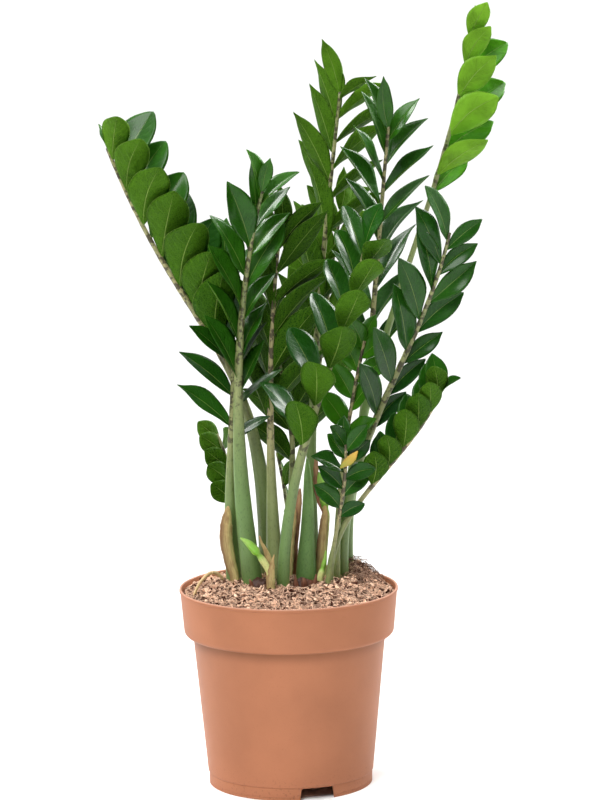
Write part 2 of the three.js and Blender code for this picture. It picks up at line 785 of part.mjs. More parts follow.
// What stands in the soil: each piece with the plain hole that it stands in.
const stems = {};
const upright = [];
for (const frond of FRONDS) {
  const shape = { curve: bezier(frond.curve), radiusAt: (t) => stemRadius(frond.stem, t) };
  stems[frond.name] = stalk(shape);
  upright.push(withBox(stalk({ ...shape, extra: GAP }), frond.name));
}
const stalks = {};
for (const entry of STALKS) {
  const shape = throughPoints(entry);
  stalks[entry.name] = stalk(shape);
  upright.push(withBox(stalk({ ...shape, extra: GAP }), entry.name));
}

// The leaflets, each bent clear of all that is there before it.
const blades = [];
const leafing = {};
for (const name of LEAFING_ORDER) {
  const index = FRONDS.findIndex((frond) => frond.name === name);
  const neighbours = upright.filter((piece) => piece.owner !== name);
  leafing[name] = [];
  for (const place of leafletPlaces(FRONDS[index], 100 * (index + 1))) {
    const others = [...neighbours, ...blades];
    const turn = TURNS.find((candidate) => isClear(blade(place, candidate, BLADE.clearance), others));
    if (!turn) continue; // shed: another blade lies right against its root
    const solid = blade(place, turn);
    leafing[name].push(solid);
    blades.push(withBox(solid, name));
  }
}

const holes = wasm.Manifold.union(upright.map((piece) => piece.solid));
const tuberHoles = wasm.Manifold.union(TUBERS.map((entry) => tuber(entry, GAP)));

addPiece("pot", pot(), PLASTIC);
addPiece("soil", soil().subtract(holes).subtract(tuberHoles), COIR);
for (const entry of TUBERS) {
  addPiece(entry.name, tuber(entry).subtract(holes), TUBER);
}
for (const frond of FRONDS) {
  addPiece(frond.name, wasm.Manifold.union([stems[frond.name], ...leafing[frond.name]]), GREEN);
}
for (const entry of STALKS) {
  addPiece(entry.name, stalks[entry.name], STALK_MATERIALS[entry.finish]);
}

export default plant;
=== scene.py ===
"""A ZZ plant in a terracotta-coloured nursery pot, dressed over its CAD frame.

The fronds' curves and leaflet rules are the ones that the frame was made from, so every finer piece lies
where its plain solid lies. Plain sizes below are millimetres round the pot's own axis, as in the frame's
source; at() turns such a point into the frame's metres.
"""

import math
import random
from functools import partial
from typing import NamedTuple

import bmesh
import bpy
from bpy.props import FloatProperty, FloatVectorProperty, IntProperty, PointerProperty
from mathutils import Matrix, Quaternion, Vector, noise
from mathutils.kdtree import KDTree


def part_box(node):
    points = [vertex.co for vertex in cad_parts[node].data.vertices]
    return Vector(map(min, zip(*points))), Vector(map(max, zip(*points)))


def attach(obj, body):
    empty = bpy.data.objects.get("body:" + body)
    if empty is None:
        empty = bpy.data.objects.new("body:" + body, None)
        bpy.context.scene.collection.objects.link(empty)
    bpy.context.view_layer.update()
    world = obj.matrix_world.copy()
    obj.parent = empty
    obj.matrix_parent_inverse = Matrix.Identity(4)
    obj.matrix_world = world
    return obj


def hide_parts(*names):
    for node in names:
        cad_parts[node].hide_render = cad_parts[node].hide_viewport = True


bl_info = {
    "name": "Potted ZZ Plant",
    "version": (1, 0, 0),
    "blender": (4, 5, 0),
    "location": "View3D > Sidebar > ZZ Plant",
    "description": "Builds a potted ZZ plant with its soil, shoots and studio",
    "category": "Add Mesh",
}

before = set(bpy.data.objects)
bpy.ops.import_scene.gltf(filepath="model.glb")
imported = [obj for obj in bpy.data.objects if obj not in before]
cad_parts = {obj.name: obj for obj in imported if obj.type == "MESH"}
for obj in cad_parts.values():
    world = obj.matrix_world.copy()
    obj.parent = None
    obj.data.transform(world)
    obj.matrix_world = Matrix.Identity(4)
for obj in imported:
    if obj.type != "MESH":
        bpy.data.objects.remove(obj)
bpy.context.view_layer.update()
POT_LOW, POT_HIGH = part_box("pot")
POT_MIDDLE = (POT_LOW + POT_HIGH) / 2
MM = 0.001
UP = Vector((0, 0, 1))


def at(x, y, z):
    """A point given in millimetres round the pot's axis, in the frame's metres."""
    return Vector((POT_MIDDLE.x + x * MM, POT_MIDDLE.y + y * MM, z * MM))


def linear(hex_colour):
    """An sRGB hex colour as linear red, green and blue."""
    channels = [int(hex_colour[i : i + 2], 16) / 255 for i in (0, 2, 4)]
    return tuple(c / 12.92 if c <= 0.04045 else ((c + 0.055) / 1.055) ** 2.4 for c in channels)


def mix(a, b, share):
    return a + (b - a) * share


def smooth_step(low, high, value):
    share = min(max((value - low) / (high - low), 0), 1)
    return share * share * (3 - 2 * share)


# ---------------------------------------------------------------- sizes


class Rank(NamedTuple):
    """One of a frond's two ranks of leaflets, each pair of values from its lowest leaflet to its top one."""

    lengths: tuple
    angles: tuple  # from the stem, in degrees
    twists: tuple  # about the leaflet's own line


class Frond(NamedTuple):
    """One frond: its stem's curve and thickness, and the rule that its leaflets follow."""

    name: str
    foot: tuple  # the curve's ends and handles; the foot stands at STEM_ROOT
    low: tuple
    high: tuple
    tip: tuple
    radius: float  # at the foot
    waist: float  # over the swollen foot
    swell: float
    pairs: int
    start: float  # where along the stem the lowest pair grows
    width: float  # of a leaflet, as a share of its length
    face: tuple  # compass angle that the frond's upper side turns to, 0 towards the viewer
    fold: tuple  # how far the two ranks are folded up, like a book
    right: Rank  # the ranks as seen on the frond's upper side
    left: Rank
    bulge: float = 1
    terminal: float = 0.9
    posed: dict = {}  # a leaflet's own change of angle, twist and size, by its place from the foot
    youth: tuple = (0.35, 0.5)  # from 0, old and dark, to 1, new and yellow-green, at its foot and its tip
    shade: float = 0.3  # painted shade: how far its leaflets are darkened, most for the fronds deep in the middle of the plant
    blunt: float = 0.3  # how round its leaflets' tips are
    keel: float = 0.22  # how far its leaflets are folded along the midrib
    tan: float = 0.6  # how far its stem has turned from green to tan between the leaflets


FRONDS = [
    Frond(
        "frond_left", (-20, 30), (-15, 35, 435), (-85, -10, 405), (-166, 0, 615), 9.5, 5.4, 0.28,
        7, 0.5, 0.52, (98, 72), (68, 60),
        right=Rank((80, 62), (42, 60), (-26, -26)), left=Rank((84, 58), (50, 36), (-26, -26)),
        posed={9: (4, 0, 1.05), 11: (6, 0, 0.92), 13: (10, 0, 0.82)}, youth=(0.0, 0.34), bulge=1.3,
        terminal=0.45, blunt=0.75, shade=0.1, tan=0.8,
    ),
    Frond(
        "frond_front_left", (-30, -5), (-50, -10, 300), (-55, -10, 440), (-20, -25, 575), 10.4, 4.8, 0.48,
        7, 0.52, 0.4, (32, 16), (8, 8),
        right=Rank((58, 48), (22, 31), (-76, -62)), left=Rank((80, 54), (30, 34), (-38, -38)),
        posed={1: (0, 12, 1), 6: (0, 10, 1.2), 9: (-2, 36, 1.1), 14: (-8, 0, 0.8)}, youth=(0.22, 0.36),
        bulge=1.1, shade=0.2, keel=0.26, tan=0.5,
    ),
    Frond(
        "frond_pale_left", (-50, 10), (-65, 10, 330), (-40, -20, 360), (-55, 38, 500), 8, 5.2, 0.3,
        6, 0.47, 0.36, (-15, 20), (12, 12),
        right=Rank((68, 52), (54, 36), (-52, -52)), left=Rank((68, 52), (54, 36), (-52, -52)),
        youth=(0.1, 0.2), shade=0.5,
    ),
    Frond(
        "frond_centre_left", (-11.5, 10), (-16, 10, 285), (-20, 0, 405), (-5, 0, 525), 9, 4.2, 0.34,
        6, 0.5, 0.34, (165, 165), (25, 25),
        right=Rank((88, 60), (30, 28), (-20, -20)), left=Rank((86, 60), (38, 38), (-30, -20)),
        posed={3: (-6, 12, 1), 7: (6, -14, 0.92), 9: (-5, 0, 1.06)},
        youth=(0.0, 0.1), shade=0.8, tan=1.0,
    ),
    Frond(
        "frond_centre_back", (0, 35), (0, 40, 310), (20, 10, 330), (-20, 75, 440), 5, 4, 0.3,
        5, 0.46, 0.42, (190, 190), (20, 20),
        right=Rank((62, 48), (46, 34), (-20, -20)), left=Rank((62, 48), (46, 34), (-20, -20)),
        youth=(0.0, 0.1), shade=0.8,
    ),
    Frond(
        "frond_front_centre", (-5, -25), (-10, -25, 315), (45, -45, 395), (75, -60, 525), 6.6, 6.4, 0.3,
        6, 0.43, 0.52, (-66, -52), (64, 0),
        right=Rank((66, 52), (34, 26), (-52, -96)), left=Rank((66, 52), (38, 34), (-74, -74)),
        posed={0: (-6, 0, 0.95), 1: (18, 0, 0.95), 6: (-4, 0, 0.95), 8: (-4, 0, 1), 10: (10, 0, 0.9)},
        youth=(0.1, 0.16), bulge=1.4, blunt=0.8, shade=0.05, tan=0.5,
    ),
    Frond(
        "frond_tall_back", (25, 25), (15, 25, 330), (35, 55, 495), (55, 65, 660), 8, 4.6, 0.3,
        9, 0.5, 0.34, (172, 172), (26, 26),
        right=Rank((90, 60), (27, 28), (-16, -16)), left=Rank((66, 60), (46, 46), (-40, -40)),
        posed={2: (-12, 0, 1.12), 6: (-8, 0, 1), 17: (0, 0, 0.8), 18: (24, 0, 1.1)},
        youth=(0.06, 0.34), shade=0.22, keel=0.3, blunt=0.15,
    ),
    Frond(
        "frond_tall_centre", (40, 60), (80, 74, 320), (85, 52, 475), (100, 25, 630), 7, 4.2, 0.3,
        8, 0.5, 0.34, (25, 25), (0, 0),
        right=Rank((76, 54), (46, 40), (-84, -92)), left=Rank((78, 62), (37, 20), (-50, -50)),
        posed={14: (-4, 30, 0.85), 16: (-20, 0, 1.1)}, youth=(0.08, 0.3), keel=0.34, blunt=0.1, tan=0.8,
    ),
    Frond(
        "frond_thin_centre", (46, 4), (44, 6, 260), (55, 10, 340), (75, -10, 430), 4.5, 3, 0.3,
        4, 0.62, 0.52, (-20, -20), (20, 20),
        right=Rank((44, 34), (46, 34), (-15, -15)), left=Rank((44, 34), (46, 34), (-15, -15)),
        youth=(0.4, 0.5), shade=0.1, tan=1.0,
    ),
    Frond(
        "frond_tallest_right", (60, 40), (35, 40, 350), (155, 75, 530), (180, 50, 720), 7, 4.8, 0.3,
        5, 0.72, 0.48, (90, 84), (54, 56),
        right=Rank((68, 50), (56, 48), (-34, -34)), left=Rank((70, 44), (42, 24), (-34, -34)),
        posed={0: (-28, -30, 0.8), 1: (0, -30, 0.95), 3: (0, 0, 1.1), 4: (4, 0, 1.1), 7: (-6, 0, 0.9),
               8: (0, 0, 0.6), 9: (-8, 0, 0.85)},
        youth=(0.85, 0.95), bulge=1.1, terminal=0.5, blunt=0.6, shade=0.0,
    ),
    Frond(
        "frond_right", (55, 20), (35, 20, 315), (125, -20, 400), (155, -35, 535), 6.5, 5, 0.3,
        7, 0.46, 0.36, (35, 30), (8, 8),
        right=Rank((48, 48), (24, 38), (-24, -24)), left=Rank((78, 62), (40, 34), (-18, -18)),
        posed={6: (0, 0, 1.2), 8: (0, 0, 1.15), 14: (-30, 0, 1.05)}, youth=(0.06, 0.16), bulge=1.15,
        blunt=0.4,
    ),
    Frond(
        "frond_low_right", (45, -10), (15, -10, 260), (115, -35, 310), (145, -40, 385), 4, 3.2, 0.3,
        6, 0.55, 0.52, (-90, -84), (62, 58),
        right=Rank((47, 39), (42, 36), (-30, -30)), left=Rank((47, 39), (42, 36), (-30, -30)),
        youth=(0.06, 0.16), bulge=1.2, terminal=0.7, blunt=0.7, tan=1.0,
    ),
    Frond(
        "frond_small_right", (35, -20), (35, -15, 215), (60, -25, 290), (55, -35, 335), 3.5, 2.4, 0.3,
        5, 0.56, 0.5, (10, 0), (15, 15),
        right=Rank((38, 30), (50, 38), (-30, -10)), left=Rank((38, 30), (56, 34), (-10, -40)),
        posed={0: (0, 20, 0.8), 2: (-10, 30, 1), 5: (12, -30, 1.1), 7: (-12, 20, 1)}, youth=(0.1, 0.2),
        bulge=1.15, blunt=0.6, shade=0.5, tan=1.0,
    ),
    Frond(
        "frond_small_left", (-52, 40), (-52, 40, 220), (-46, 45, 285), (-68, 60, 330), 3.5, 2.4, 0.3,
        5, 0.58, 0.66, (-120, -120), (25, 25),
        right=Rank((34, 26), (50, 36), (-15, -15)), left=Rank((34, 26), (50, 36), (-15, -15)),
        youth=(0.1, 0.2), bulge=1.1, blunt=0.6,
    ),
    Frond(
        "frond_small_back", (-5, 60), (5, 45, 225), (0, 80, 260), (-10, 95, 305), 3.5, 2.4, 0.3,
        3, 0.45, 0.5, (110, 110), (20, 20),
        right=Rank((32, 24), (48, 34), (-15, -15)), left=Rank((32, 24), (48, 34), (-15, -15)),
        youth=(0.2, 0.3),
    ),
    Frond(
        "frond_back", (20, 62), (20, 62, 330), (30, 70, 400), (55, 125, 540), 6, 4.2, 0.3,
        6, 0.45, 0.4, (200, 200), (18, 18),
        right=Rank((76, 52), (46, 34), (-20, -20)), left=Rank((76, 52), (46, 34), (-20, -20)),
        youth=(0.2, 0.35),
    ),
]

STEM_ROOT = 165  # height of every stem's foot, down in the soil
STEM_TIP = 1.4  # half the thickness at every stem's tip
CROWDING = 1.3  # over 1, so the pairs come closer together towards the tip
RANK_LAG = 0.4  # how much of a pair's step the left rank's leaflet grows above the right one's
TERMINAL_ANGLE = 6  # of the leaflet at the tip, from the stem's own line
LAST_ROOT = 0.995  # how far up the stem that leaflet grows
MIDDLE_GAIN = 0.08  # how much longer leaflets are halfway up their rank
SPREAD = {"angle": 5, "fold": 5, "twist": 8, "length": 0.07}  # how far leaflets differ from their rule

# The turns and sizes that a leaflet may have taken in the frame to keep clear of its neighbours.
BENDS = (0, 9, -9, 18, -18, 27, -27, 36, -36)
SIZES = (1, 0.85, 0.7, 0.55, 0.4)
SIZE_COST = 100
TURNS = [(swing, tilt, size) for size in SIZES for swing in BENDS for tilt in BENDS]
TURNS.sort(key=lambda turn: math.hypot(turn[0], turn[1]) + SIZE_COST * (1 - turn[2]))
FOUND_WITHIN = 0.0001  # how near, in metres, a leaflet's corner has to be to one of the frame's
DROOP = 0.07  # how far a leaflet's tip hangs, as a share of its length
KEEL = 0.18  # how far the frame's plain leaflets are folded along the midrib
LAST_ROW = 0.88  # where along them their last row of corners is
LAST_SMALL_ROW = 0.82
SMALL_LENGTH = 46  # the small ones are shorter than this


class Stalk(NamedTuple):
    """A tapered stalk through points given as x, y, height and half width."""

    name: str
    depth: float
    points: tuple


SHEATHS = [
    Stalk("sheath_left", 0.42, (
        (-50, -5, 165, 3.6), (-51.5, -5, 199, 4.4), (-55, -5, 214, 5.6), (-59, -5, 235, 6.4),
        (-59, -5, 253, 6), (-57.5, -4.5, 265, 3.4), (-57, -4, 271, 0.8),
    )),
    Stalk("sheath_front", 0.45, (
        (-16.5, -33, 165, 4), (-17, -33, 201, 4.4), (-17.5, -33, 214, 4.4), (-19, -34, 226, 3.4),
        (-22, -34.5, 235, 2), (-25, -35, 241, 1.2), (-27, -36, 248, 0.8),
    )),
    Stalk("sheath_middle", 0.5, (
        (3, 9, 165, 4.6), (3, 9, 200, 5), (5, 9, 232, 5), (8, 9, 254, 4.4), (10.5, 9, 271, 3.4),
        (12, 9, 285, 0.9),
    )),
    Stalk("sheath_right", 0.3, (
        (28, 6, 165, 3.8), (28.5, 6, 201, 4.2), (31, 5.5, 218, 5), (33, 5, 237, 4.8), (35, 4, 255, 4),
        (36, 3, 269, 1.6),
    )),
]
SHOOTS = [
    Stalk("shoot_front", 1, (
        (-16, -39, 165, 2.4), (-17, -39.5, 205, 2.6), (-20, -40, 218, 3.2), (-26, -41, 228, 3.6),
        (-31, -42, 235, 4.4), (-37, -43, 242, 3.6), (-45, -44, 248, 0.7),
    )),
    Stalk("shoot_right", 1, (
        (33, 13, 165, 2.6), (34.5, 13, 215, 2.6), (37, 12, 250, 3), (36, 10.5, 266, 4.6), (33, 9, 283, 5),
        (31, 8, 294, 3.6), (30, 8, 301, 0.8),
    )),
    Stalk("shoot_small", 1, (
        (30, -12, 165, 3), (30, -12, 198, 3), (32, -12, 208, 3.2), (35, -12, 219, 2), (36, -12, 228, 0.6),
    )),
]
SCRAPS = [
    Stalk("wrap_at_front", 0.28, (
        (-16.5, -42.6, 188, 3.6), (-16.8, -43.2, 199, 4.2), (-16.6, -43.6, 208, 4), (-15.5, -43.4, 217, 3),
        (-14.4, -42.6, 225, 1.6), (-13.8, -42, 231, 0.5),
    )),
    Stalk("wrap_at_middle", 0.3, (
        (0, 3, 190, 3.6), (1, 3, 214, 4.4), (3, 3, 238, 3.6), (6, 3, 258, 2), (7, 3, 270, 0.5),
    )),
    Stalk("husk_high", 0.25, (
        (34, 3, 262, 1), (29, 5, 276, 1.8), (27, 6, 290, 2.6), (27.5, 6, 306, 2.4), (28, 6, 320, 0.6),
    )),
    Stalk("bark_left_1", 0.3, ((-34, -26, 188, 3), (-35, -27, 197, 2.6), (-37, -27, 204, 0.5))),
    Stalk("bark_left_2", 0.3, ((-21, -26, 190, 2.6), (-20, -27, 197, 2.2), (-19, -27, 202, 0.5))),
    Stalk("bark_right_1", 0.3, ((8, -21, 189, 3), (7, -22, 198, 2.6), (6, -22, 206, 0.5))),
    Stalk("bark_right_2", 0.3, ((23, -19, 190, 3), (25, -20, 199, 2.6), (27, -20, 207, 0.5))),
    Stalk("bark_right_3", 0.3, ((15, -21, 192, 4), (15, -22, 199, 3.4), (14, -22, 204, 1))),
    Stalk("yellow_leaf", 0.16, (
        (50, -36, 312, 0.6), (54, -37, 316, 3), (59, -38, 320, 4.4), (63, -38, 324, 3.6),
        (67, -38, 329, 0.5),
    )),
]
SPEAR = Stalk("spear", 1, (
    (17, -4, 165, 9.6), (17, -4, 202, 10), (18, -4, 227, 8.4), (19, -4, 248, 6.8), (19.5, -4, 276, 5),
    (19.5, -4, 300, 3.6), (19, -4, 317, 0.7),
))
ROOT = Stalk("surface_root", 1, (
    (-61, 17, 184, 2.2), (-66, 12, 199, 2.1), (-74, 6, 204, 1.9), (-82, -4, 200, 1.7), (-88, -14, 193, 1.4),
    (-92, -24, 184, 1.1),
))
TUBERS = {"tuber_left": ((-27, -16, 190), (12, 10, 11)), "tuber_right": ((15, -12, 191), (11, 9, 9))}


def coloured(name, description, hex_colour):
    """A colour that the user can change."""
    return FloatVectorProperty(
        name=name, description=description, subtype="COLOR", default=linear(hex_colour)
    )


class PotSettings(bpy.types.PropertyGroup):
    steps: IntProperty(name="Steps", description="Facets round the pot", default=144)
    colour: coloured("Plastic", "Colour of the moulded plastic", "a96f51")


class SoilSettings(bpy.types.PropertyGroup):
    crumbs: IntProperty(name="Crumbs", description="Loose crumbs of coir on the surface", default=4600)
    fibres: IntProperty(name="Fibres", description="Loose coir fibres", default=1440)
    seed: IntProperty(name="Seed", description="Starts the scatter", default=7)
    dark: coloured("Damp coir", "Colour in the hollows", "4a2b1f")
    pale: coloured("Dry coir", "Colour of the dry chips", "ffd6b8")


class LeafSettings(bpy.types.PropertyGroup):
    thickness: FloatProperty(name="Thickness", description="Of a leaflet", default=0.0009, unit="LENGTH")
    rows: IntProperty(name="Rows", description="Facets along a leaflet", default=18)
    columns: IntProperty(name="Columns", description="Facets across a leaflet", default=10)
    old_upper: coloured("Old upper side", "Colour of an old leaflet", "083a0e")
    new_upper: coloured("New upper side", "Colour of a new leaflet", "55a010")
    old_under: coloured("Old underside", "Colour of an old leaflet", "123c00")
    new_under: coloured("New underside", "Colour of a new leaflet", "7cb22e")


class StemSettings(bpy.types.PropertyGroup):
    sides: IntProperty(name="Sides", description="Facets round a stem", default=14)
    rings: IntProperty(name="Rings", description="Facets along a stem", default=90)
    foot: coloured("Foot", "Colour over the soil", "668448")
    top: coloured("Top", "Colour between the leaflets", "a89b70")


class StudioSettings(bpy.types.PropertyGroup):
    key: FloatProperty(name="Key", description="Soft key light, in watts per square metre", default=2.45)
    top_power: FloatProperty(name="Top", description="Soft light overhead", default=22, unit="POWER")
    side_power: FloatProperty(name="Side", description="From behind the right", default=4.5, unit="POWER")
    sky_power: FloatProperty(name="Sky", description="From behind the left", default=6.5, unit="POWER")
    room: FloatProperty(name="Room", description="Light of the dim room in front", default=0.06)
    ceiling: FloatProperty(name="Ceiling", description="Light of the white ceiling", default=1.4)
    backdrop: FloatProperty(name="Backdrop", description="Light of the white backdrop", default=0.65)


class PlantSettings(bpy.types.PropertyGroup):
    pot: PointerProperty(type=PotSettings)
    soil: PointerProperty(type=SoilSettings)
    leaf: PointerProperty(type=LeafSettings)
    stem: PointerProperty(type=StemSettings)
    studio: PointerProperty(type=StudioSettings)


# ---------------------------------------------------------------- mesh helpers


def meshed(name, bm):
    """A mesh of a bmesh's shape. The bmesh is freed."""
    mesh = bpy.data.meshes.new(name)
    bm.to_mesh(mesh)
    bm.free()
    return mesh


def placed(name, data):
    """A new object in the scene."""
    made = bpy.data.objects.new(name, data)
    bpy.context.scene.collection.objects.link(made)
    return made


def linked(name, bm, materials=()):
    """A new object in the scene with a bmesh's shape."""
    mesh = meshed(name, bm)
    for material in materials:
        mesh.materials.append(material)
    return placed(name, mesh)


def smooth(mesh, angle):
    """Shades a mesh smooth, apart from the edges that turn by more than an angle in degrees."""
    for polygon in mesh.polygons:
        polygon.use_smooth = True
    mesh.set_sharp_from_angle(angle=math.radians(angle))


def finished(name, bm, materials, replaces, smooth_angle=180):
    """The object of a finished bmesh, on the plant's one body, standing for its CAD node."""
    piece = linked(name, bm, materials)
    smooth(piece.data, smooth_angle)
    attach(piece, "root")
    if replaces:
        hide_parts(*replaces)
    return piece


def turned_body(section, steps):
    """A closed body turned about the pot's axis from its section, given as radius and height."""
    bm = bmesh.new()
    verts = [bm.verts.new(at(radius, 0, height)) for radius, height in section]
    for a, b in zip(verts, verts[1:]):
        bm.edges.new((a, b))
    bmesh.ops.spin(
        bm, geom=bm.verts[:] + bm.edges[:], cent=at(0, 0, 0), axis=UP, angle=2 * math.pi, steps=steps,
        use_merge=True,
    )
    bmesh.ops.remove_doubles(bm, verts=bm.verts, dist=1e-6)
    bmesh.ops.recalc_face_normals(bm, faces=bm.faces)
    return bm


class Station(NamedTuple):
    """One ring of a swept tube."""

    centre: Vector
    along: Vector
    width: float  # half width across the view
    depth: float  # half width to the back
    length: float  # how far along the tube, in metres


def ring_matrix(station):
    across = UP.cross(station.along) if abs(station.along.z) < 0.1 else Vector((0, 1, 0)).cross(station.along)
    across.normalize()
    back = station.along.cross(across)
    turned = Matrix((across, back, station.along)).transposed().to_4x4()
    size = Matrix.Diagonal((station.width, station.depth, station.width, 1))
    return Matrix.Translation(station.centre) @ turned @ size


def sweep(bm, stations, sides):
    """Skins a tube over its stations. The verts' "straight" is where each would be on a straight tube."""
    straight = bm.verts.layers.float_vector.get("straight") or bm.verts.layers.float_vector.new("straight")
    before = ring_matrix(stations[0])
    made = bmesh.ops.create_circle(bm, cap_ends=False, segments=sides, radius=1, matrix=before)
    ring = made["verts"]
    edges = list({edge for vert in ring for edge in vert.link_edges})
    bmesh.ops.contextual_create(bm, geom=edges)
    mark_ring(ring, before, stations[0], straight)
    for station in stations[1:]:
        extruded = bmesh.ops.extrude_edge_only(bm, edges=edges)["geom"]
        ring = [item for item in extruded if isinstance(item, bmesh.types.BMVert)]
        edges = [item for item in extruded if isinstance(item, bmesh.types.BMEdge)]
        after = ring_matrix(station)
        bmesh.ops.transform(bm, matrix=after @ before.inverted(), verts=ring)
        mark_ring(ring, after, station, straight)
        before = after
    bmesh.ops.contextual_create(bm, geom=edges)


def mark_ring(ring, matrix, station, layer):
    inverse = matrix.inverted()
    for vert in ring:
        flat = inverse @ vert.co
        vert[layer] = Vector((flat.x * station.width, flat.y * station.width, station.length))


# ---------------------------------------------------------------- the fronds' rules


def rough(n):
    """A repeatable number from -1 to 1 for each n, the one that the frame's source uses."""
    s = math.sin(n * 12.9898) * 43758.5453
    return 2 * (s - math.floor(s)) - 1


def stem_ends(frond):
    return [at(*frond.foot, STEM_ROOT), at(*frond.low), at(*frond.high), at(*frond.tip)]


def stem_point(ends, t):
    a, b, c, d = ends
    s = 1 - t
    return a * s**3 + b * (3 * t * s * s) + c * (3 * t * t * s) + d * t**3


def stem_direction(ends, t):
    a, b, c, d = ends
    s = 1 - t
    return ((b - a) * (s * s) + (c - b) * (2 * t * s) + (d - c) * (t * t)).normalized()


def stem_radius(frond, t):
    slender = mix(frond.waist, STEM_TIP, t)
    return slender + (frond.radius - frond.waist) * math.exp(-((t / frond.swell) ** 2))


class Place(NamedTuple):
    """Where a leaflet grows and which way it lies, in the frame's metres."""

    root: Vector
    direction: Vector
    normal: Vector
    twist: float
    length: float
    width: float
    side: int  # 1 for the right rank and -1 for the left one
    share: float  # how far along its rank
    along: float  # how far along the stem


def leaflet_places(frond, seed):
    """Where every leaflet of a frond grows."""
    ends = stem_ends(frond)
    places = []
    for k in range(2 * frond.pairs + 1):
        last = k == 2 * frond.pairs
        side = -1 if k % 2 else 1
        step = frond.pairs if last else k // 2 + (k % 2) * RANK_LAG
        share = step / frond.pairs
        t = 1 - (1 - frond.start) * (1 - share) ** CROWDING
        along = stem_direction(ends, t)
        azimuth = math.radians(mix(*frond.face, share))
        facing = Vector((math.sin(azimuth), -math.cos(azimuth), 0))
        upper = (facing - along * facing.dot(along)).normalized()
        across = along.cross(upper)
        rank = frond.right if side > 0 else frond.left
        bend, roll, grown = frond.posed.get(k, (0, 0, 1))
        usual_angle = TERMINAL_ANGLE if last else mix(*rank.angles, share) + SPREAD["angle"] * rough(seed + k)
        angle = math.radians(usual_angle + bend)
        rise = math.radians(mix(*frond.fold, share) + SPREAD["fold"] * rough(seed + k + 0.3))
        outward = across * (side * math.cos(rise)) + upper * math.sin(rise)
        direction = along * math.cos(angle) + outward * math.sin(angle)
        flat = (along - direction * along.dot(direction)).normalized()
        normal = direction.cross(flat) * side
        if last:
            flat = across
            normal = -direction.cross(flat)
        usual = mix(*rank.lengths, share) * (frond.terminal if last else 1) * grown
        uneven = SPREAD["length"] * rough(seed + k + 0.6)
        length = usual * (1 + MIDDLE_GAIN * math.sin(math.pi * share) + uneven) * MM
        usual_twist = 0 if last else mix(*rank.twists, share) + SPREAD["twist"] * rough(seed + k + 0.9)
        twist = math.radians(usual_twist + roll)
        root = stem_point(ends, min(t, LAST_ROOT))
        places.append(Place(root, direction, normal, twist, length, length * frond.width, side, share, t))
    return places


class Leaflet(NamedTuple):
    """A leaflet as it lies in the frame: its root, its axes and its size."""

    root: Vector
    direction: Vector
    normal: Vector
    flat: Vector
    length: float
    half: float
    bulge: float
    side: int
    share: float
    along: float


def turned_leaflet(place, turn, bulge):
    swing, tilt, size = turn
    direction = Quaternion(place.normal, math.radians(swing) * place.side) @ place.direction
    flat = place.normal.cross(direction).normalized()
    tilting = Quaternion(flat, math.radians(tilt))
    direction = tilting @ direction
    normal = Quaternion(direction, place.twist * place.side) @ (tilting @ place.normal)
    flat = normal.cross(direction)
    return Leaflet(
        place.root, direction, normal, flat, place.length * size, place.width * size / 2, bulge, place.side,
        place.share, place.along,
    )


def outline(u, bulge):
    """Half of a blade's width at u along it, as a share of its greatest."""
    return max(math.sin(math.pi * u**bulge), 0) ** 0.85


def frame_corners(leaflet, small):
    """The plain blade's tip and the two side corners of its last row."""
    row = LAST_SMALL_ROW if small else LAST_ROW
    wide = leaflet.half * outline(row, leaflet.bulge)
    middle = leaflet.root + leaflet.direction * (row * leaflet.length)
    middle += leaflet.normal * (KEEL * wide - DROOP * leaflet.length * row * row)
    tip = leaflet.root + leaflet.direction * leaflet.length - leaflet.normal * (DROOP * leaflet.length)
    return [tip, middle + leaflet.flat * wide, middle - leaflet.flat * wide]


def grown_leaflets(frond, seed):
    """The frond's leaflets, each turned as the frame has it; one that the frame left off is left off."""
    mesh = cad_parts[frond.name].data
    tree = KDTree(len(mesh.vertices))
    for i, vertex in enumerate(mesh.vertices):
        tree.insert(vertex.co, i)
    tree.balance()
    grown = []
    for place in leaflet_places(frond, seed):
        small = place.length < SMALL_LENGTH * MM
        for turn in TURNS:
            leaflet = turned_leaflet(place, turn, frond.bulge)
            found = sum(tree.find(corner)[2] < FOUND_WITHIN for corner in frame_corners(leaflet, small))
            if found >= 2:
                grown.append(leaflet)
                break
    return grown


# ---------------------------------------------------------------- materials


def fill(node, inputs):
    """Sets a node's inputs, by name or in their order, each to a value, a colour or an output."""
    shown = [socket for socket in node.inputs if socket.enabled]
    if not isinstance(inputs, dict):
        inputs = {socket.identifier: value for socket, value in zip(shown, inputs)}
    for key, value in inputs.items():
        socket = next(s for s in shown if key in (s.identifier, s.name))
        if isinstance(value, bpy.types.NodeSocket):
            node.id_data.links.new(value, socket)
        elif socket.type == "RGBA":
            socket.default_value = (*value, 1)
        else:
            socket.default_value = value


def add_node(tree, kind, inputs=(), output=None, **settings):
    """Adds a node with its settings and links, and gives the named output, or else the first in use."""
    made = tree.nodes.new("ShaderNode" + kind)
    for name, value in settings.items():
        setattr(made, name, value)
    fill(made, inputs)
    return made.outputs[output] if output else next(socket for socket in made.outputs if socket.enabled)


def new_material(name):
    """A material with only its shader and output, what adds a node to it, and its shader."""
    material = bpy.data.materials.new(name)
    material.use_nodes = True
    tree = material.node_tree
    return material, partial(add_node, tree), tree.nodes["Principled BSDF"]


def spaced(size):
    """The scale of a pattern whose features are this many millimetres wide."""
    return 1 / (size * MM)


def shaded(colour, share):
    return tuple(channel * share for channel in colour)


def painted(add, base, coats):
    """Lays coats of colour over a base, each as far as its value has come from low to high."""
    for value, low, high, most, colour in coats:
        share = add("MapRange", [value, low, high, 0.0, most])
        base = add("Mix", [share, base, colour], data_type="RGBA")
    return base


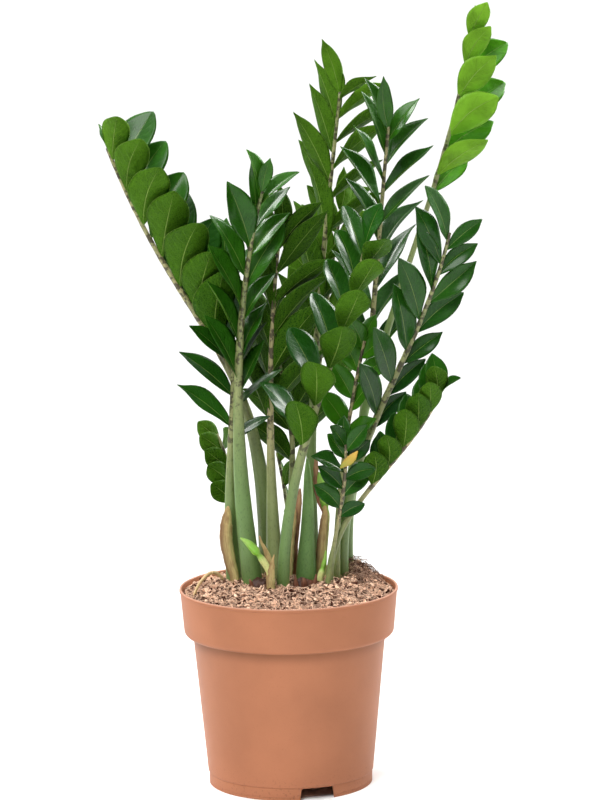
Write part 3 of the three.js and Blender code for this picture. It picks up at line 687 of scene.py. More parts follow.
def moulded_plastic(colour):
    """Injection-moulded polypropylene: even colour, a dull sheen and the faint grain of its mould."""
    material, add, shader = new_material("terracotta_polypropylene")
    place = add("TexCoord", output="Object")
    # the colour is cloudy, some 5 cm wide, and the mould's grain is too fine to show, so it is 1.1 mm here
    cloudy = add("TexNoise", [place, spaced(55.56), 4.0])
    grain = add("TexNoise", [place, spaced(1.111), 2.0])
    # the thin top edge is painted pale as a highlight, painted shade darkens the crease under the band, and
    # dirt of about 2 mm specks the foot
    up = add("SeparateXYZ", [place], "Z")
    crease = add("MapRange", [up, 0.132, 0.1465, 0.0, 0.5], interpolation_type="SMOOTHSTEP")
    below = add("Math", [up, 0.1472], operation="LESS_THAN")
    painted_band_shade = add("Math", [crease, below], operation="MULTIPLY")
    foot = add("MapRange", [up, 0.03, 0.0, 0.0, 0.6])
    dirt = add("TexNoise", [place, spaced(2.381), 3.0])
    spots = add("MapRange", [dirt, 0.6, 0.68])
    specks = add("Math", [spots, foot], operation="MULTIPLY")
    base = painted(add, colour, [
        (cloudy, 0.35, 0.7, 1.0, shaded(colour, 0.88)),
        (grain, 0.62, 0.74, 0.3, shaded(colour, 0.6)),
        # a painted highlight along the rim's top edge
        (up, 0.1896, 0.1908, 0.7, linear("c99a84")),
        # painted shade in the crease under the band
        (painted_band_shade, 0.0, 1.0, 1.0, shaded(colour, 0.45)),
        (specks, 0.0, 1.0, 1.0, linear("6b4a3a")),
    ])
    bump = add("Bump", {"Height": grain, "Strength": 0.12, "Distance": 0.0004})
    fill(shader, {
        "Base Color": base, "Normal": bump, "Roughness": 0.5, "IOR": 1.49, "Specular IOR Level": 0.12,
    })
    return material


def leaf_skin(name, old, new, finish):
    """A leaflet's skin: waxy cuticle over veined green, darker on old leaflets than on new ones."""
    material, add, shader = new_material(name)
    blade = add("SeparateXYZ", [add("UVMap", uv_map="blade")]).node.outputs
    centred = add("Math", [blade["X"], 0.5], operation="SUBTRACT")
    across = add("Math", [centred], operation="ABSOLUTE")
    youth = add("Attribute", output="Fac", attribute_name="youth")
    shade = add("Attribute", output="Fac", attribute_name="shade")
    place = add("TexCoord", output="Object")
    # cloudy patches some 2 cm wide, and a fine net of cells about 2 mm wide
    patches = add("TexNoise", [place, spaced(20.83), 3.0])
    net = add("TexVoronoi", [place, spaced(1.923)], feature="DISTANCE_TO_EDGE")
    # side veins lean towards the tip, stray every 17 mm or so, and fade out in places
    wander = add("TexNoise", [place, spaced(16.67)])
    run = add("Math", [across, -0.4, blade["Y"]], operation="MULTIPLY_ADD")
    run = add("Math", [wander, 0.12, run], operation="MULTIPLY_ADD")
    turns = add("Math", [run, 74.0], operation="MULTIPLY")
    wave = add("Math", [turns], operation="SINE")
    here = add("MapRange", [patches, 0.42, 0.62])
    crest = add("MapRange", [wave, 0.5, 1.0])
    vein = add("Math", [crest, here], operation="MULTIPLY")
    # the midrib thins towards the tip and widens into the pale foot
    left = add("Math", [1.06, blade["Y"]], operation="SUBTRACT")
    spread = add("Math", [across, left], operation="DIVIDE")
    midrib = add("MapRange", [spread, 0.012, 0.034, 1.0, 0.0], interpolation_type="SMOOTHSTEP")
    foot = add("MapRange", [blade["Y"], 0.0, 0.1, 1.0, 0.0])
    rib = add("Math", [midrib, foot], operation="MAXIMUM")
    margin = add("MapRange", [across, 0.484, 0.498], interpolation_type="SMOOTHSTEP")
    base = painted(add, old, [
        (youth, 0.0, 1.0, 1.0, new),
        (patches, 0.35, 0.72, 0.5, shaded(old, 0.6)),
        # painted shade on the leaflets deep inside the plant
        (shade, 0.0, 1.0, 0.72, shaded(old, 0.45)),
        (net, 0.3, 0.0, finish["net"], new),
        (vein, 0.0, 1.0, finish["veins"], new),
        (rib, 0.0, 1.0, finish["midrib"], linear("9dbb5e")),
        (margin, 0.0, 1.0, finish["margin"], linear("8fae55")),
    ])
    # the skin is puckered every 8 mm and sinks over the veins and the midrib
    height = add("TexNoise", [place, spaced(7.692), 2.0])
    for part, rise in ((vein, -0.2), (midrib, finish["rise"]), (net, 0.14)):
        height = add("Math", [part, rise, height], operation="MULTIPLY_ADD")
    bump = add("Bump", {"Height": height, "Strength": 0.8, "Distance": 0.0022})
    fill(shader, {
        "Base Color": base, "Normal": bump, "Roughness": finish["roughness"], "IOR": 1.45,
        "Specular IOR Level": finish["specular"], "Coat Weight": finish["coat"], "Coat IOR": 1.55,
        "Coat Roughness": 0.2,
    })
    return material


UPPER_FINISH = {
    "roughness": 0.5, "specular": 0.05, "coat": 0.32, "veins": 0.04, "midrib": 0.4, "margin": 0.25,
    "rise": -0.5, "net": 0.06,
}
UNDER_FINISH = {
    "roughness": 0.55, "specular": 0.06, "coat": 0.0, "veins": 0.1, "midrib": 0.55, "margin": 0.42,
    "rise": 0.6, "net": 0.16,
}


def stalk_inputs(add):
    """What every stalk's skin reads: where a point is on the straight stalk, and its share of the height."""
    straight = add("Attribute", output="Vector", attribute_name="straight")
    return straight, add("Attribute", output="Fac", attribute_name="height")


def stem_skin(name, foot, top, scarred=1.0):
    """A fleshy petiole: smooth grey-green with fine freckles, tan with dark scars between the leaflets."""
    material, add, shader = new_material(name)
    straight, height = stalk_inputs(add)
    # a grey bloom in soft patches 8 mm wide and 2 cm long, and freckles of 1 mm with short streaks
    longwise = add("Mapping", {"Vector": straight, "Scale": (1.0, 1.0, 0.3)})
    bloom = add("TexNoise", [longwise, spaced(7.692), 3.0])
    stretched = add("Mapping", {"Vector": straight, "Scale": (1.0, 1.0, 0.35)})
    fine = add("TexNoise", [stretched, spaced(1.111), 2.0])
    # dark scars of about 5 mm, where leaflets grow and in between
    joint = add("Attribute", output="Fac", attribute_name="joint")
    scars = add("TexNoise", [straight, spaced(4.762), 3.0])
    raised = add("Math", [joint, 0.2, scars], operation="MULTIPLY_ADD")
    marks = add("MapRange", [raised, 0.6, 0.68, 0.0, 0.85])
    amount = add("Math", [marks, height], operation="MULTIPLY")
    base = painted(add, foot, [
        (height, 0.0, 1.0, 1.0, top),
        (bloom, 0.35, 0.7, 0.5, shaded(foot, 0.66)),
        (fine, 0.56, 0.7, 0.5, shaded(foot, 0.42)),
        (amount, 0.0, 1.0, scarred, linear("2e2619")),
    ])
    bump = add("Bump", {"Height": fine, "Strength": 0.2, "Distance": 0.0004})
    fill(shader, {"Base Color": base, "Normal": bump, "Roughness": 0.42, "Specular IOR Level": 0.45})
    return material


def dry_skin(name, foot, tip, dark, fresh, fibre_width):
    """Dead plant tissue: papery, its colour changing to its tip, with long fibres and brown stains.

    Real fibres are a tenth of a millimetre wide, which doesn't show, so they are drawn from 1 mm up.
    """
    material, add, shader = new_material(name)
    straight, height = stalk_inputs(add)
    foot, tip, dark, fresh = linear(foot), linear(tip), linear(dark), linear(fresh)
    across = add("SeparateXYZ", [straight], "X")
    stretched = add("Mapping", {"Vector": straight, "Scale": (1.0, 1.0, 0.06)})
    fibres = add("TexNoise", [stretched, spaced(fibre_width), 3.0])
    # the stains are about 6 mm wide
    longwise = add("Mapping", {"Vector": straight, "Scale": (1.0, 1.0, 0.4)})
    blotches = add("TexNoise", [longwise, spaced(5.882), 3.0])
    # it is rolled, darker along the side that dried first and fresher along the other
    base = painted(add, foot, [
        (height, 0.0, 1.0, 1.0, tip),
        (across, 0.0, -0.0045, 0.8, dark),
        (across, 0.001, 0.004, 0.55, fresh),
        (fibres, 0.4, 0.65, 0.45, dark),
        (blotches, 0.5, 0.68, 0.5, dark),
    ])
    bump = add("Bump", {"Height": fibres, "Strength": 0.4, "Distance": 0.0006})
    fill(shader, {"Base Color": base, "Normal": bump, "Roughness": 0.6})
    return material


def coir(name, pale, dark):
    """Coir and peat: dry pinkish-tan chips over damp dark hollows, with no shine at all."""
    material, add, shader = new_material(name)
    tone = add("Attribute", output="Fac", attribute_name="tone")
    # the chips are pitted about every 2 mm
    fine = add("TexNoise", [add("TexCoord", output="Object"), spaced(1.923), 4.0])
    base = painted(add, dark, [(tone, 0.0, 1.0, 1.0, pale), (fine, 0.54, 0.64, 0.75, shaded(dark, 0.5))])
    bump = add("Bump", {"Height": fine, "Strength": 0.8, "Distance": 0.0008})
    fill(shader, {"Base Color": base, "Normal": bump, "Roughness": 0.95, "Specular IOR Level": 0.15})
    return material


# ---------------------------------------------------------------- pot

BAND_FOOT = (96, 151, 5)  # the centre and radius of the quarter turn under the band
POT_WALL = 1.4
NOTCH = {"count": 3, "width": 35, "top": 32, "height": 11.5, "corner": 1.5, "depth": 24, "first": -71}
NOTCH_OUT = 78.8  # the foot ring's outside
DRAIN = {"count": 5, "radius": 4.5, "ring": 48, "height": 15, "depth": 8}
SHARP = 35  # the pot's edges that turn by more degrees than this stay sharp


def quarter(centre_radius, centre_height, radius, steps):
    """Points of the quarter turn from straight below its centre to straight outside it."""
    turn = []
    for i in range(steps + 1):
        angle = math.radians(-90 + 90 * i / steps)
        turn.append((centre_radius + radius * math.cos(angle), centre_height + radius * math.sin(angle)))
    return turn


def pot_profile():
    """The pot's section as radius and height, from the middle underneath, outside and back in."""
    outer_foot = quarter(*BAND_FOOT, 6)
    inner_foot = quarter(BAND_FOOT[0], BAND_FOOT[1], BAND_FOOT[2] - POT_WALL, 5)
    rim = [
        (104.2, 187.7), (104.85, 188.2), (105, 188.8), (105, 190), (104.75, 190.7), (104.1, 191),
        (103.4, 190.95), (102.85, 190.6), (102.6, 190),
    ]
    return [
        (0, 14), (76.2, 14), (76.4, 13.8), (76.4, 0.4), (76.8, 0), (78.4, 0), (78.8, 0.4), (78.8, 2.6),
        (78.5, 2.8), (78.5, 3.2), (78.8, 3.4), (78.8, 11.9), (79.2, 12.2), (79.8, 12.8), (79.9, 13.6),
        (92.4, 145.2), (92.9, 146), *outer_foot[1:], *rim, *reversed(inner_foot), (91.1, 147), (91, 146),
        (78.7, 16.6), (78.2, 16), (0, 16),
    ]


def cut_by(piece, cutter):
    """Cuts one closed mesh out of another and removes the cutter."""
    modifier = piece.modifiers.new("cut", "BOOLEAN")
    modifier.object = cutter
    modifier.solver = "EXACT"
    evaluated = piece.evaluated_get(bpy.context.evaluated_depsgraph_get())
    cut = bpy.data.meshes.new_from_object(evaluated)
    piece.modifiers.clear()
    old = piece.data
    piece.data = cut
    bpy.data.meshes.remove(old)
    bpy.data.objects.remove(cutter)


class POT_OT_build(bpy.types.Operator):
    """Turns the pot from its section and cuts the notches and drain holes"""

    bl_idname = "zz_plant.pot"
    bl_label = "Pot"

    def execute(self, context):
        settings = context.scene.zz_plant.pot
        bm = turned_body(pot_profile(), settings.steps)
        plastic = moulded_plastic(settings.colour)
        pot = finished("terracotta_pot", bm, [plastic], ["pot"], SHARP)
        cut_by(pot, self.plugs())
        smooth(pot.data, SHARP)
        return {"FINISHED"}

    def plugs(self):
        """What the notches and drain holes leave out, as one mesh of separate plugs."""
        bm = bmesh.new()
        half, top, high, corner = NOTCH["width"] / 2, NOTCH["top"] / 2, NOTCH["height"], NOTCH["corner"]
        arch = [
            (-half, -1), (half, -1), (top, high - corner), (top - corner, high), (corner - top, high),
            (-top, high - corner),
        ]
        start = NOTCH_OUT + NOTCH["depth"] / 3
        for i in range(NOTCH["count"]):
            turn = Matrix.Rotation(math.radians(NOTCH["first"] - 90 + 360 / NOTCH["count"] * i), 4, "Z")
            place = Matrix.Translation(at(0, 0, 0)) @ turn
            face = bm.faces.new([bm.verts.new(place @ (Vector((x, start, z)) * MM)) for x, z in arch])
            extruded = bmesh.ops.extrude_face_region(bm, geom=[face])["geom"]
            moved = [item for item in extruded if isinstance(item, bmesh.types.BMVert)]
            bmesh.ops.translate(bm, verts=moved, vec=turn @ Vector((0, -NOTCH["depth"] * MM, 0)))
        radius, ring = DRAIN["radius"] * MM, DRAIN["ring"]
        for i in range(DRAIN["count"]):
            angle = (i + 0.5) / DRAIN["count"] * 2 * math.pi
            centre = at(ring * math.cos(angle), ring * math.sin(angle), DRAIN["height"])
            bmesh.ops.create_cone(
                bm, cap_ends=True, segments=24, radius1=radius, radius2=radius, depth=DRAIN["depth"] * MM,
                matrix=Matrix.Translation(centre),
            )
        bmesh.ops.recalc_face_normals(bm, faces=bm.faces)
        return linked("plugs", bm)


# ---------------------------------------------------------------- soil

SOIL_EDGE = 185.5  # height where it meets the pot's wall
SOIL_MOUND = 13  # how much higher its middle is
SOIL_RADIUS = 101.9
SOIL_UNDER = [(0, 16.5), (78, 16.5), (91, 145.5), (97, 148), (100.5, 153), (SOIL_RADIUS, SOIL_EDGE)]
SOIL_LEVEL = 200  # where the surface is turned, before it is raised and lowered
SOIL_RINGS = 44
SOIL_STEPS = 160
SOIL_TONE = 0.25  # how dry the soil between the crumbs is, from 0 to 1
HEAP = {"x": 68, "y": 42, "height": 17, "spread": 24}
LUMP = 1.6  # height of its broad lumps
CLOD = {"height": 3, "width": 11}  # the finer clods on them
HOLLOW = {"depth": 5, "ahead": 7, "reach": 1.1}  # the dip in front of each tuber
HANDFUL = 40  # how many bits are grown together
DARK_CRUMBS = 0.41  # the share of crumbs that are damp
WILD_FIBRES = 0.16  # the share of fibres that stand up round the heap


def soil_height(x, y):
    """Height of the soil over a place, all in millimetres: a mound with lumps and a heap."""
    reach = min(math.hypot(x, y) / SOIL_RADIUS, 1)
    inside = 1 - reach**3
    away = math.hypot(x - HEAP["x"], y - HEAP["y"]) / HEAP["spread"]
    lumps = math.sin(x / 7 + 1) * math.cos(y / 8) + math.sin((x + y) / 13)
    uneven = HEAP["height"] * math.exp(-away * away) + LUMP * lumps
    return SOIL_EDGE + SOIL_MOUND * inside + uneven * math.sqrt(inside)


def clod_height(x, y):
    """Height of the soil with its clods, and its dips in front of the tubers."""
    clods = noise.fractal(Vector((x, y, 0)) / CLOD["width"], 0.8, 2.1, 4)
    height = soil_height(x, y) - 1 + CLOD["height"] * clods
    for centre, radii in TUBERS.values():
        away = math.hypot(x - centre[0], y - centre[1] + HOLLOW["ahead"]) / (HOLLOW["reach"] * radii[0])
        height -= HOLLOW["depth"] * math.exp(-away * away)
    return height


def scattered(chance):
    """Three random numbers round 0."""
    return Vector([chance.gauss(0, 1) for _ in range(3)])


def somewhere(chance, within):
    """A random place on the soil, within a share of its radius."""
    reach = SOIL_RADIUS * math.sqrt(chance.random()) * within
    angle = chance.uniform(0, 2 * math.pi)
    return Vector((reach * math.cos(angle), reach * math.sin(angle), 0))


def poured(count, grow, chance):
    """Loose bits grown a handful at a time, which is quicker than all of them in one mesh."""
    heap = bmesh.new()
    for _ in range(0, count, HANDFUL):
        handful = bmesh.new()
        tone = handful.verts.layers.float.new("tone")
        for _ in range(HANDFUL):
            grow(handful, tone, chance)
        mesh = meshed("handful", handful)
        heap.from_mesh(mesh)
        bpy.data.meshes.remove(mesh)
    return heap


class SOIL_OT_build(bpy.types.Operator):
    """Fills the pot with coir, and scatters crumbs and fibres over it"""

    bl_idname = "zz_plant.soil"
    bl_label = "Soil"

    def execute(self, context):
        settings = context.scene.zz_plant.soil
        skin = [coir("dry_coir", settings.pale, settings.dark)]
        chance = random.Random(settings.seed)
        finished("coir_soil", self.ground(), skin, ["soil"])
        crumbs = poured(settings.crumbs, self.crumb, chance)
        finished("coir_crumbs", crumbs, skin, [], 20)
        fibres = poured(settings.fibres, self.fibre, chance)
        finished("coir_fibres", fibres, skin, [])
        return {"FINISHED"}

    def ground(self):
        """The soil as one body, its surface raised in clods and drier here and there."""
        rings = [(SOIL_RADIUS * (1 - i / SOIL_RINGS), SOIL_LEVEL) for i in range(1, SOIL_RINGS + 1)]
        bm = turned_body(SOIL_UNDER + rings, SOIL_STEPS)
        tone = bm.verts.layers.float.new("tone")
        for vert in bm.verts:
            vert[tone] = SOIL_TONE
            if vert.co.z > (SOIL_LEVEL - 1) * MM:
                x, y = (vert.co.x - POT_MIDDLE.x) / MM, (vert.co.y - POT_MIDDLE.y) / MM
                vert.co.z = (clod_height(x, y) - 0.4) * MM
                vert[tone] = SOIL_TONE + 0.5 * noise.noise(Vector((x, y, 5)) / 5)
        return bm

    def crumb(self, bm, tone, chance):
        """One chip of coir, tumbled and knocked out of shape."""
        x, y, _ = somewhere(chance, 0.985)
        size = chance.triangular(0.6, 3.8, 1.1)
        height = clod_height(x, y) + chance.uniform(-0.5, 0.4) * size
        tumbled = Quaternion(scattered(chance).normalized(), chance.uniform(0, math.pi))
        long, wide, thick = chance.uniform(0.8, 1.6), chance.uniform(0.4, 0.8), chance.uniform(0.2, 0.5)
        stretch = Matrix.Diagonal((size * long, size * wide, size * thick, 1)) @ Matrix.Scale(MM, 4)
        matrix = Matrix.Translation(at(x, y, height)) @ tumbled.to_matrix().to_4x4() @ stretch
        made = bmesh.ops.create_icosphere(bm, subdivisions=1, radius=1, matrix=matrix)
        shade = chance.uniform(-0.2, 0.2) if chance.random() < DARK_CRUMBS else chance.uniform(0.6, 1.1)
        for vert in made["verts"]:
            vert[tone] = shade
            vert.co += scattered(chance) * (0.14 * size * MM)

    def fibre(self, bm, tone, chance):
        """One coir fibre that wanders over the soil, or stands up in a loop beside the heap."""
        place = somewhere(chance, 0.97)
        wild = chance.random() < WILD_FIBRES
        if wild:
            place = Vector((HEAP["x"] + chance.gauss(0, 14), HEAP["y"] - 10 + chance.gauss(0, 16), 0))
            place *= min(1, 0.95 * SOIL_RADIUS / place.length)
        heading = chance.uniform(0, 2 * math.pi)
        steps = chance.randint(5, 10)
        radius = chance.uniform(0.18, 0.38)
        lift = chance.uniform(2, 6.5) if wild else chance.uniform(0.2, 1.8)
        stations = []
        for i in range(steps + 1):
            share = i / steps
            height = clod_height(place.x, place.y) + 0.6 + lift * math.sin(math.pi * share)
            rise = 0.15 * math.cos(math.pi * share)
            along = Vector((math.cos(heading), math.sin(heading), rise)).normalized()
            thin = radius * (1 - 0.6 * abs(2 * share - 1)) * MM
            stations.append(Station(at(place.x, place.y, height), along, thin, thin, share * 0.02))
            heading += chance.gauss(0, 0.8 if wild else 0.35)
            step = chance.uniform(1.2, 2.6)
            ahead = place + Vector((math.cos(heading), math.sin(heading), 0)) * step
            if ahead.length > SOIL_RADIUS * 0.985:
                heading += math.pi / 2
                ahead = place * 0.98
            place = ahead
        known = len(bm.verts)
        sweep(bm, stations, 4)
        bm.verts.ensure_lookup_table()
        shade = chance.uniform(0, 0.35) if wild else chance.uniform(0.5, 1.15)
        for vert in bm.verts[known:]:
            vert[tone] = shade


# ---------------------------------------------------------------- fronds

JOINT = 0.004  # how far, in metres, a stem swells round a leaflet's root
SCAR = 0.006  # how far its scars reach
SWELLING = 0.25  # by how many millimetres it swells
ROWS_GATHERED = 0.55  # how far a leaflet's rows are gathered at its two ends
NARROWING = (0.8, 0.97)  # where along it a pointed leaflet narrows to its tip
LEAF_STALK = 0.2  # how far along it its own short stalk reaches
LEAF_STALK_HALF = 0.0011  # half the stalk's thickness at its foot, in metres
# each habit's usual value, how far leaflets stray from it, and what picks a leaflet's own
HABITS = {
    "curl": (0, 0.11, 0.4), "twist": (0, 26, 0.5), "bow": (0.04, 0.035, 0.6), "wave": (0.1, 0.09, 0.7),
    "phase": (0, 3, 0.8),
}


class FRONDS_OT_build(bpy.types.Operator):
    """Grows every frond: its stem and its leaflets"""

    bl_idname = "zz_plant.fronds"
    bl_label = "Fronds"

    def execute(self, context):
        leaf, stem = context.scene.zz_plant.leaf, context.scene.zz_plant.stem
        upper = leaf_skin("waxy_upper_leaf", leaf.old_upper, leaf.new_upper, UPPER_FINISH)
        under = leaf_skin("matt_leaf_underside", leaf.old_under, leaf.new_under, UNDER_FINISH)
        template = self.template(leaf)
        for index, frond in enumerate(FRONDS):
            leaflets = grown_leaflets(frond, 100 * (index + 1))
            if not leaflets:
                raise RuntimeError(f"no leaflet of {frond.name} is found in the frame")
            self.stem(frond, leaflets, stem)
            self.leaflets(frond, leaflets, template, leaf, [upper, under])
        bpy.data.meshes.remove(template)
        return {"FINISHED"}

    def template(self, leaf):
        """A closed flat cushion, upper side and underside, which every leaflet is shaped from."""
        bm = bmesh.new()
        bm.loops.layers.uv.new("blade")
        bmesh.ops.create_grid(bm, x_segments=leaf.columns, y_segments=leaf.rows, size=1, calc_uvs=True)
        upper = bm.verts[:]
        copied = bmesh.ops.duplicate(bm, geom=bm.verts[:] + bm.edges[:] + bm.faces[:])["geom"]
        lower = [item for item in copied if isinstance(item, bmesh.types.BMFace)]
        bmesh.ops.reverse_faces(bm, faces=lower)
        for face in lower:
            face.material_index = 1
        for vert in bm.verts:
            vert.co.z = -1
        for vert in upper:
            vert.co.z = 1
        margin = [vert for vert in bm.verts if vert.is_boundary]
        for vert in margin:
            vert.co.z = 0
        bmesh.ops.remove_doubles(bm, verts=margin, dist=1e-5)
        return meshed("leaflet_template", bm)

    def stem(self, frond, leaflets, settings):
        """The stem, swollen and scarred where leaflets grow, and tan between them."""
        colours = list(zip(settings.foot, settings.top))
        low = tuple(mix(*pair, max(0, frond.tan - 0.5) * 0.6) for pair in colours)
        high = tuple(mix(*pair, frond.tan) for pair in colours)
        skin = stem_skin("petiole_" + frond.name, low, high)
        ends = stem_ends(frond)
        stations = []
        length = 0
        before = ends[0]
        for i in range(settings.rings + 1):
            t = i / settings.rings
            centre = stem_point(ends, t)
            length += (centre - before).length
            before = centre
            joint = sum(math.exp(-(((centre - leaf.root).length / JOINT) ** 2)) for leaf in leaflets)
            uneven = 1 + 0.02 * noise.noise(centre * 90)
            radius = (stem_radius(frond, t) + SWELLING * min(joint, 1)) * uneven * MM
            stations.append(Station(centre, stem_direction(ends, t), radius, radius, length))
        bm = bmesh.new()
        sweep(bm, stations, settings.sides)
        straight = bm.verts.layers.float_vector["straight"]
        height = bm.verts.layers.float.new("height")
        joint_layer = bm.verts.layers.float.new("joint")
        first = min(leaflet.along for leaflet in leaflets)
        for vert in bm.verts:
            share = vert[straight].z / length
            vert[height] = smooth_step(0.5 * first, first + 0.1, share)
            near = min((vert.co - leaf.root).length for leaf in leaflets)
            vert[joint_layer] = math.exp(-((near / SCAR) ** 2))
        finished(frond.name + "_stem", bm, [skin], [frond.name])

    def leaflets(self, frond, leaflets, template, settings, materials):
        """All of a frond's leaflets as one piece, each shaped from the template."""
        bm = bmesh.new()
        youth = bm.verts.layers.float.new("youth")
        shade = bm.verts.layers.float.new("shade")
        for k, leaflet in enumerate(leaflets):
            bm.verts.ensure_lookup_table()
            known = len(bm.verts)
            bm.from_mesh(template)
            bm.verts.ensure_lookup_table()
            seed = 17 * k + len(frond.name) + 100 * frond.pairs
            habit = self.habit(frond, seed)
            age = mix(*frond.youth, leaflet.share) + 0.07 * rough(seed)
            # painted shade, deepest on the fronds in the middle of the plant, varied at random from leaflet
            # to leaflet
            painted_shade = max(0, frond.shade + 0.25 * rough(seed + 0.3))
            for vert in bm.verts[known:]:
                s, v, face = vert.co.x, (vert.co.y + 1) / 2, vert.co.z
                vert.co = self.blade_point(leaflet, s, v, face * settings.thickness / 2, habit)
                vert[youth] = age
                vert[shade] = painted_shade
        finished(frond.name + "_leaflets", bm, materials, [frond.name])

    def habit(self, frond, seed):
        """How one leaflet differs from its neighbours."""
        habit = {key: usual + stray * rough(seed + pick) for key, (usual, stray, pick) in HABITS.items()}
        habit["blunt"] = min(max(frond.blunt + 0.3 * rough(seed + 0.1), 0), 1)
        habit["keel"] = frond.keel + 0.14 * rough(seed + 0.2)
        return habit

    def blade_point(self, leaflet, s, v, thickness, habit):
        """A point of a leaflet: s from -1 to 1 across it and v from 0 to 1 along it."""
        u = mix(v, (1 - math.cos(math.pi * v)) / 2, ROWS_GATHERED)
        shape = outline(u, leaflet.bulge)
        rounder = shape ** mix(1, 0.7, habit["blunt"]) if u > 0.5 else shape
        wide = leaflet.half * rounder * (1 - mix(0.4, 0, habit["blunt"]) * smooth_step(*NARROWING, u))
        if u < LEAF_STALK:
            thin = (1 - smooth_step(LEAF_STALK / 2, LEAF_STALK, u)) * (1 - u / LEAF_STALK)
            wide = max(wide, LEAF_STALK_HALF * thin)
        lift = habit["keel"] * wide * abs(s) ** 1.3 * 1.2
        lift += habit["wave"] * wide * s * s * math.sin(8 * u + habit["phase"] + (2 if s > 0 else 0))
        turn = math.radians(habit["twist"]) * (u - 0.4)
        sideways = leaflet.direction.cross(leaflet.normal)
        flat = sideways * math.cos(turn) + leaflet.normal * math.sin(turn)
        normal = leaflet.normal * math.cos(turn) - sideways * math.sin(turn)
        bow = habit["bow"] * leaflet.length * math.sin(math.pi * u) * -leaflet.side
        point = leaflet.root + leaflet.direction * (u * leaflet.length) + sideways * bow
        point += flat * (s * wide)
        point += normal * (lift + thickness * (1 - abs(s) ** 5))
        point -= leaflet.normal * ((DROOP + habit["curl"] * (1 - u)) * leaflet.length * u * u)
        return point


# ---------------------------------------------------------------- shoots, sheaths, tubers and root

PER_SPAN = 8  # rings between two points of a stalk
COLLAR_REACH = 0.035  # how far a collar pinches, as a share of the shoot's length
CRUMPLES = 160  # how many to a metre
CRUMPLE_SEED = 7  # without one they would differ from run to run


def through_points(entry, ripple):
    """Stations of a smooth tube through an entry's points."""
    points = [at(*p[:3]) for p in entry.points]
    points = [points[0] * 2 - points[1]] + points + [points[-1] * 2 - points[-2]]
    stations = []
    length = 0
    before = points[1]
    spans = len(entry.points) - 1
    for i in range(spans * PER_SPAN + 1):
        span = min(i // PER_SPAN, spans - 1)
        w = i / PER_SPAN - span
        a, b, c, d = points[span : span + 4]
        bent, turned = 2 * a - 5 * b + 4 * c - d, 3 * b - 3 * c + d - a
        centre = 0.5 * (2 * b + (c - a) * w + bent * w**2 + turned * w**3)
        slope = 0.5 * ((c - a) + 2 * bent * w + 3 * turned * w**2)
        length += (centre - before).length
        before = centre
        half = mix(entry.points[span][3], entry.points[span + 1][3], w) * MM
        half *= 1 + ripple * rough(i * 1.7)
        stations.append(Station(centre, slope.normalized(), half, half * entry.depth, length))
    return stations


def stalk_piece(entry, material, sides=14, ripple=0.0, crumple=0.0, turn=(0, 1), collar=0.0):
    """Sweeps a stalk. Its colour turns between the two shares of "turn", and a collar pinches it there."""
    bm = bmesh.new()
    stations = through_points(entry, ripple)
    total = stations[-1].length
    pinched = []
    for station in stations:
        away = (station.length / total - turn[1]) / COLLAR_REACH
        share = 1 - collar * math.exp(-away * away)
        pinched.append(station._replace(width=station.width * share, depth=station.depth * share))
    sweep(bm, pinched, sides)
    straight = bm.verts.layers.float_vector["straight"]
    height = bm.verts.layers.float.new("height")
    noise.seed_set(CRUMPLE_SEED)
    for vert in bm.verts:
        along = vert[straight].z / total
        vert[height] = along if turn == (0, 1) else smooth_step(*turn, along)
        if crumple:
            vert.co += noise.noise_vector(vert.co * CRUMPLES) * crumple * MM
    replaced = [entry.name] if entry.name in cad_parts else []
    finished(entry.name + "_piece", bm, [material], replaced)


class SHOOTS_OT_build(bpy.types.Operator):
    """Grows the new shoots and the bare spear between the stems"""

    bl_idname = "zz_plant.shoots"
    bl_label = "Shoots"

    def execute(self, context):
        green = stem_skin("tender_shoot", linear("d3d88c"), linear("74b82c"), scarred=0.0)
        for entry in SHOOTS:
            stalk_piece(entry, green, turn=(0.66, 0.73), collar=0.34)
        spear = stem_skin("young_petiole", linear("55793c"), linear("6f9350"), scarred=0.0)
        stalk_piece(SPEAR, spear, sides=20)
        return {"FINISHED"}


class SHEATHS_OT_build(bpy.types.Operator):
    """Builds the dry sheaths that older shoots left behind, and the scraps beside them"""

    bl_idname = "zz_plant.sheaths"
    bl_label = "Sheaths"

    def execute(self, context):
        olive = dry_skin("papery_sheath", "c6bb80", "b39a62", "6e4a2b", "8e9a58", 1.0)
        red = dry_skin("netted_husk", "8c5138", "b48d64", "4a2116", "a5774f", 1.25)
        for entry in SHEATHS:
            skin = red if entry.name == "sheath_middle" else olive
            stalk_piece(entry, skin, ripple=0.03, crumple=0.4)
        yellowed = dry_skin("yellowed_leaf", "5f8f2c", "ddb04a", "b98a38", "a9a83c", 1.667)
        bark = dry_skin("shed_bark", "6b3a28", "8a5a40", "34190f", "7a4a34", 2.0)
        skins = {"husk": red, "yellow": yellowed, "bark": bark, "wrap": olive}
        for entry in SCRAPS:
            kind = entry.name.split("_")[0]
            crumple = 0.3 if kind == "yellow" else 0.9
            stalk_piece(entry, skins[kind], sides=10, ripple=0.1, crumple=crumple)
        return {"FINISHED"}


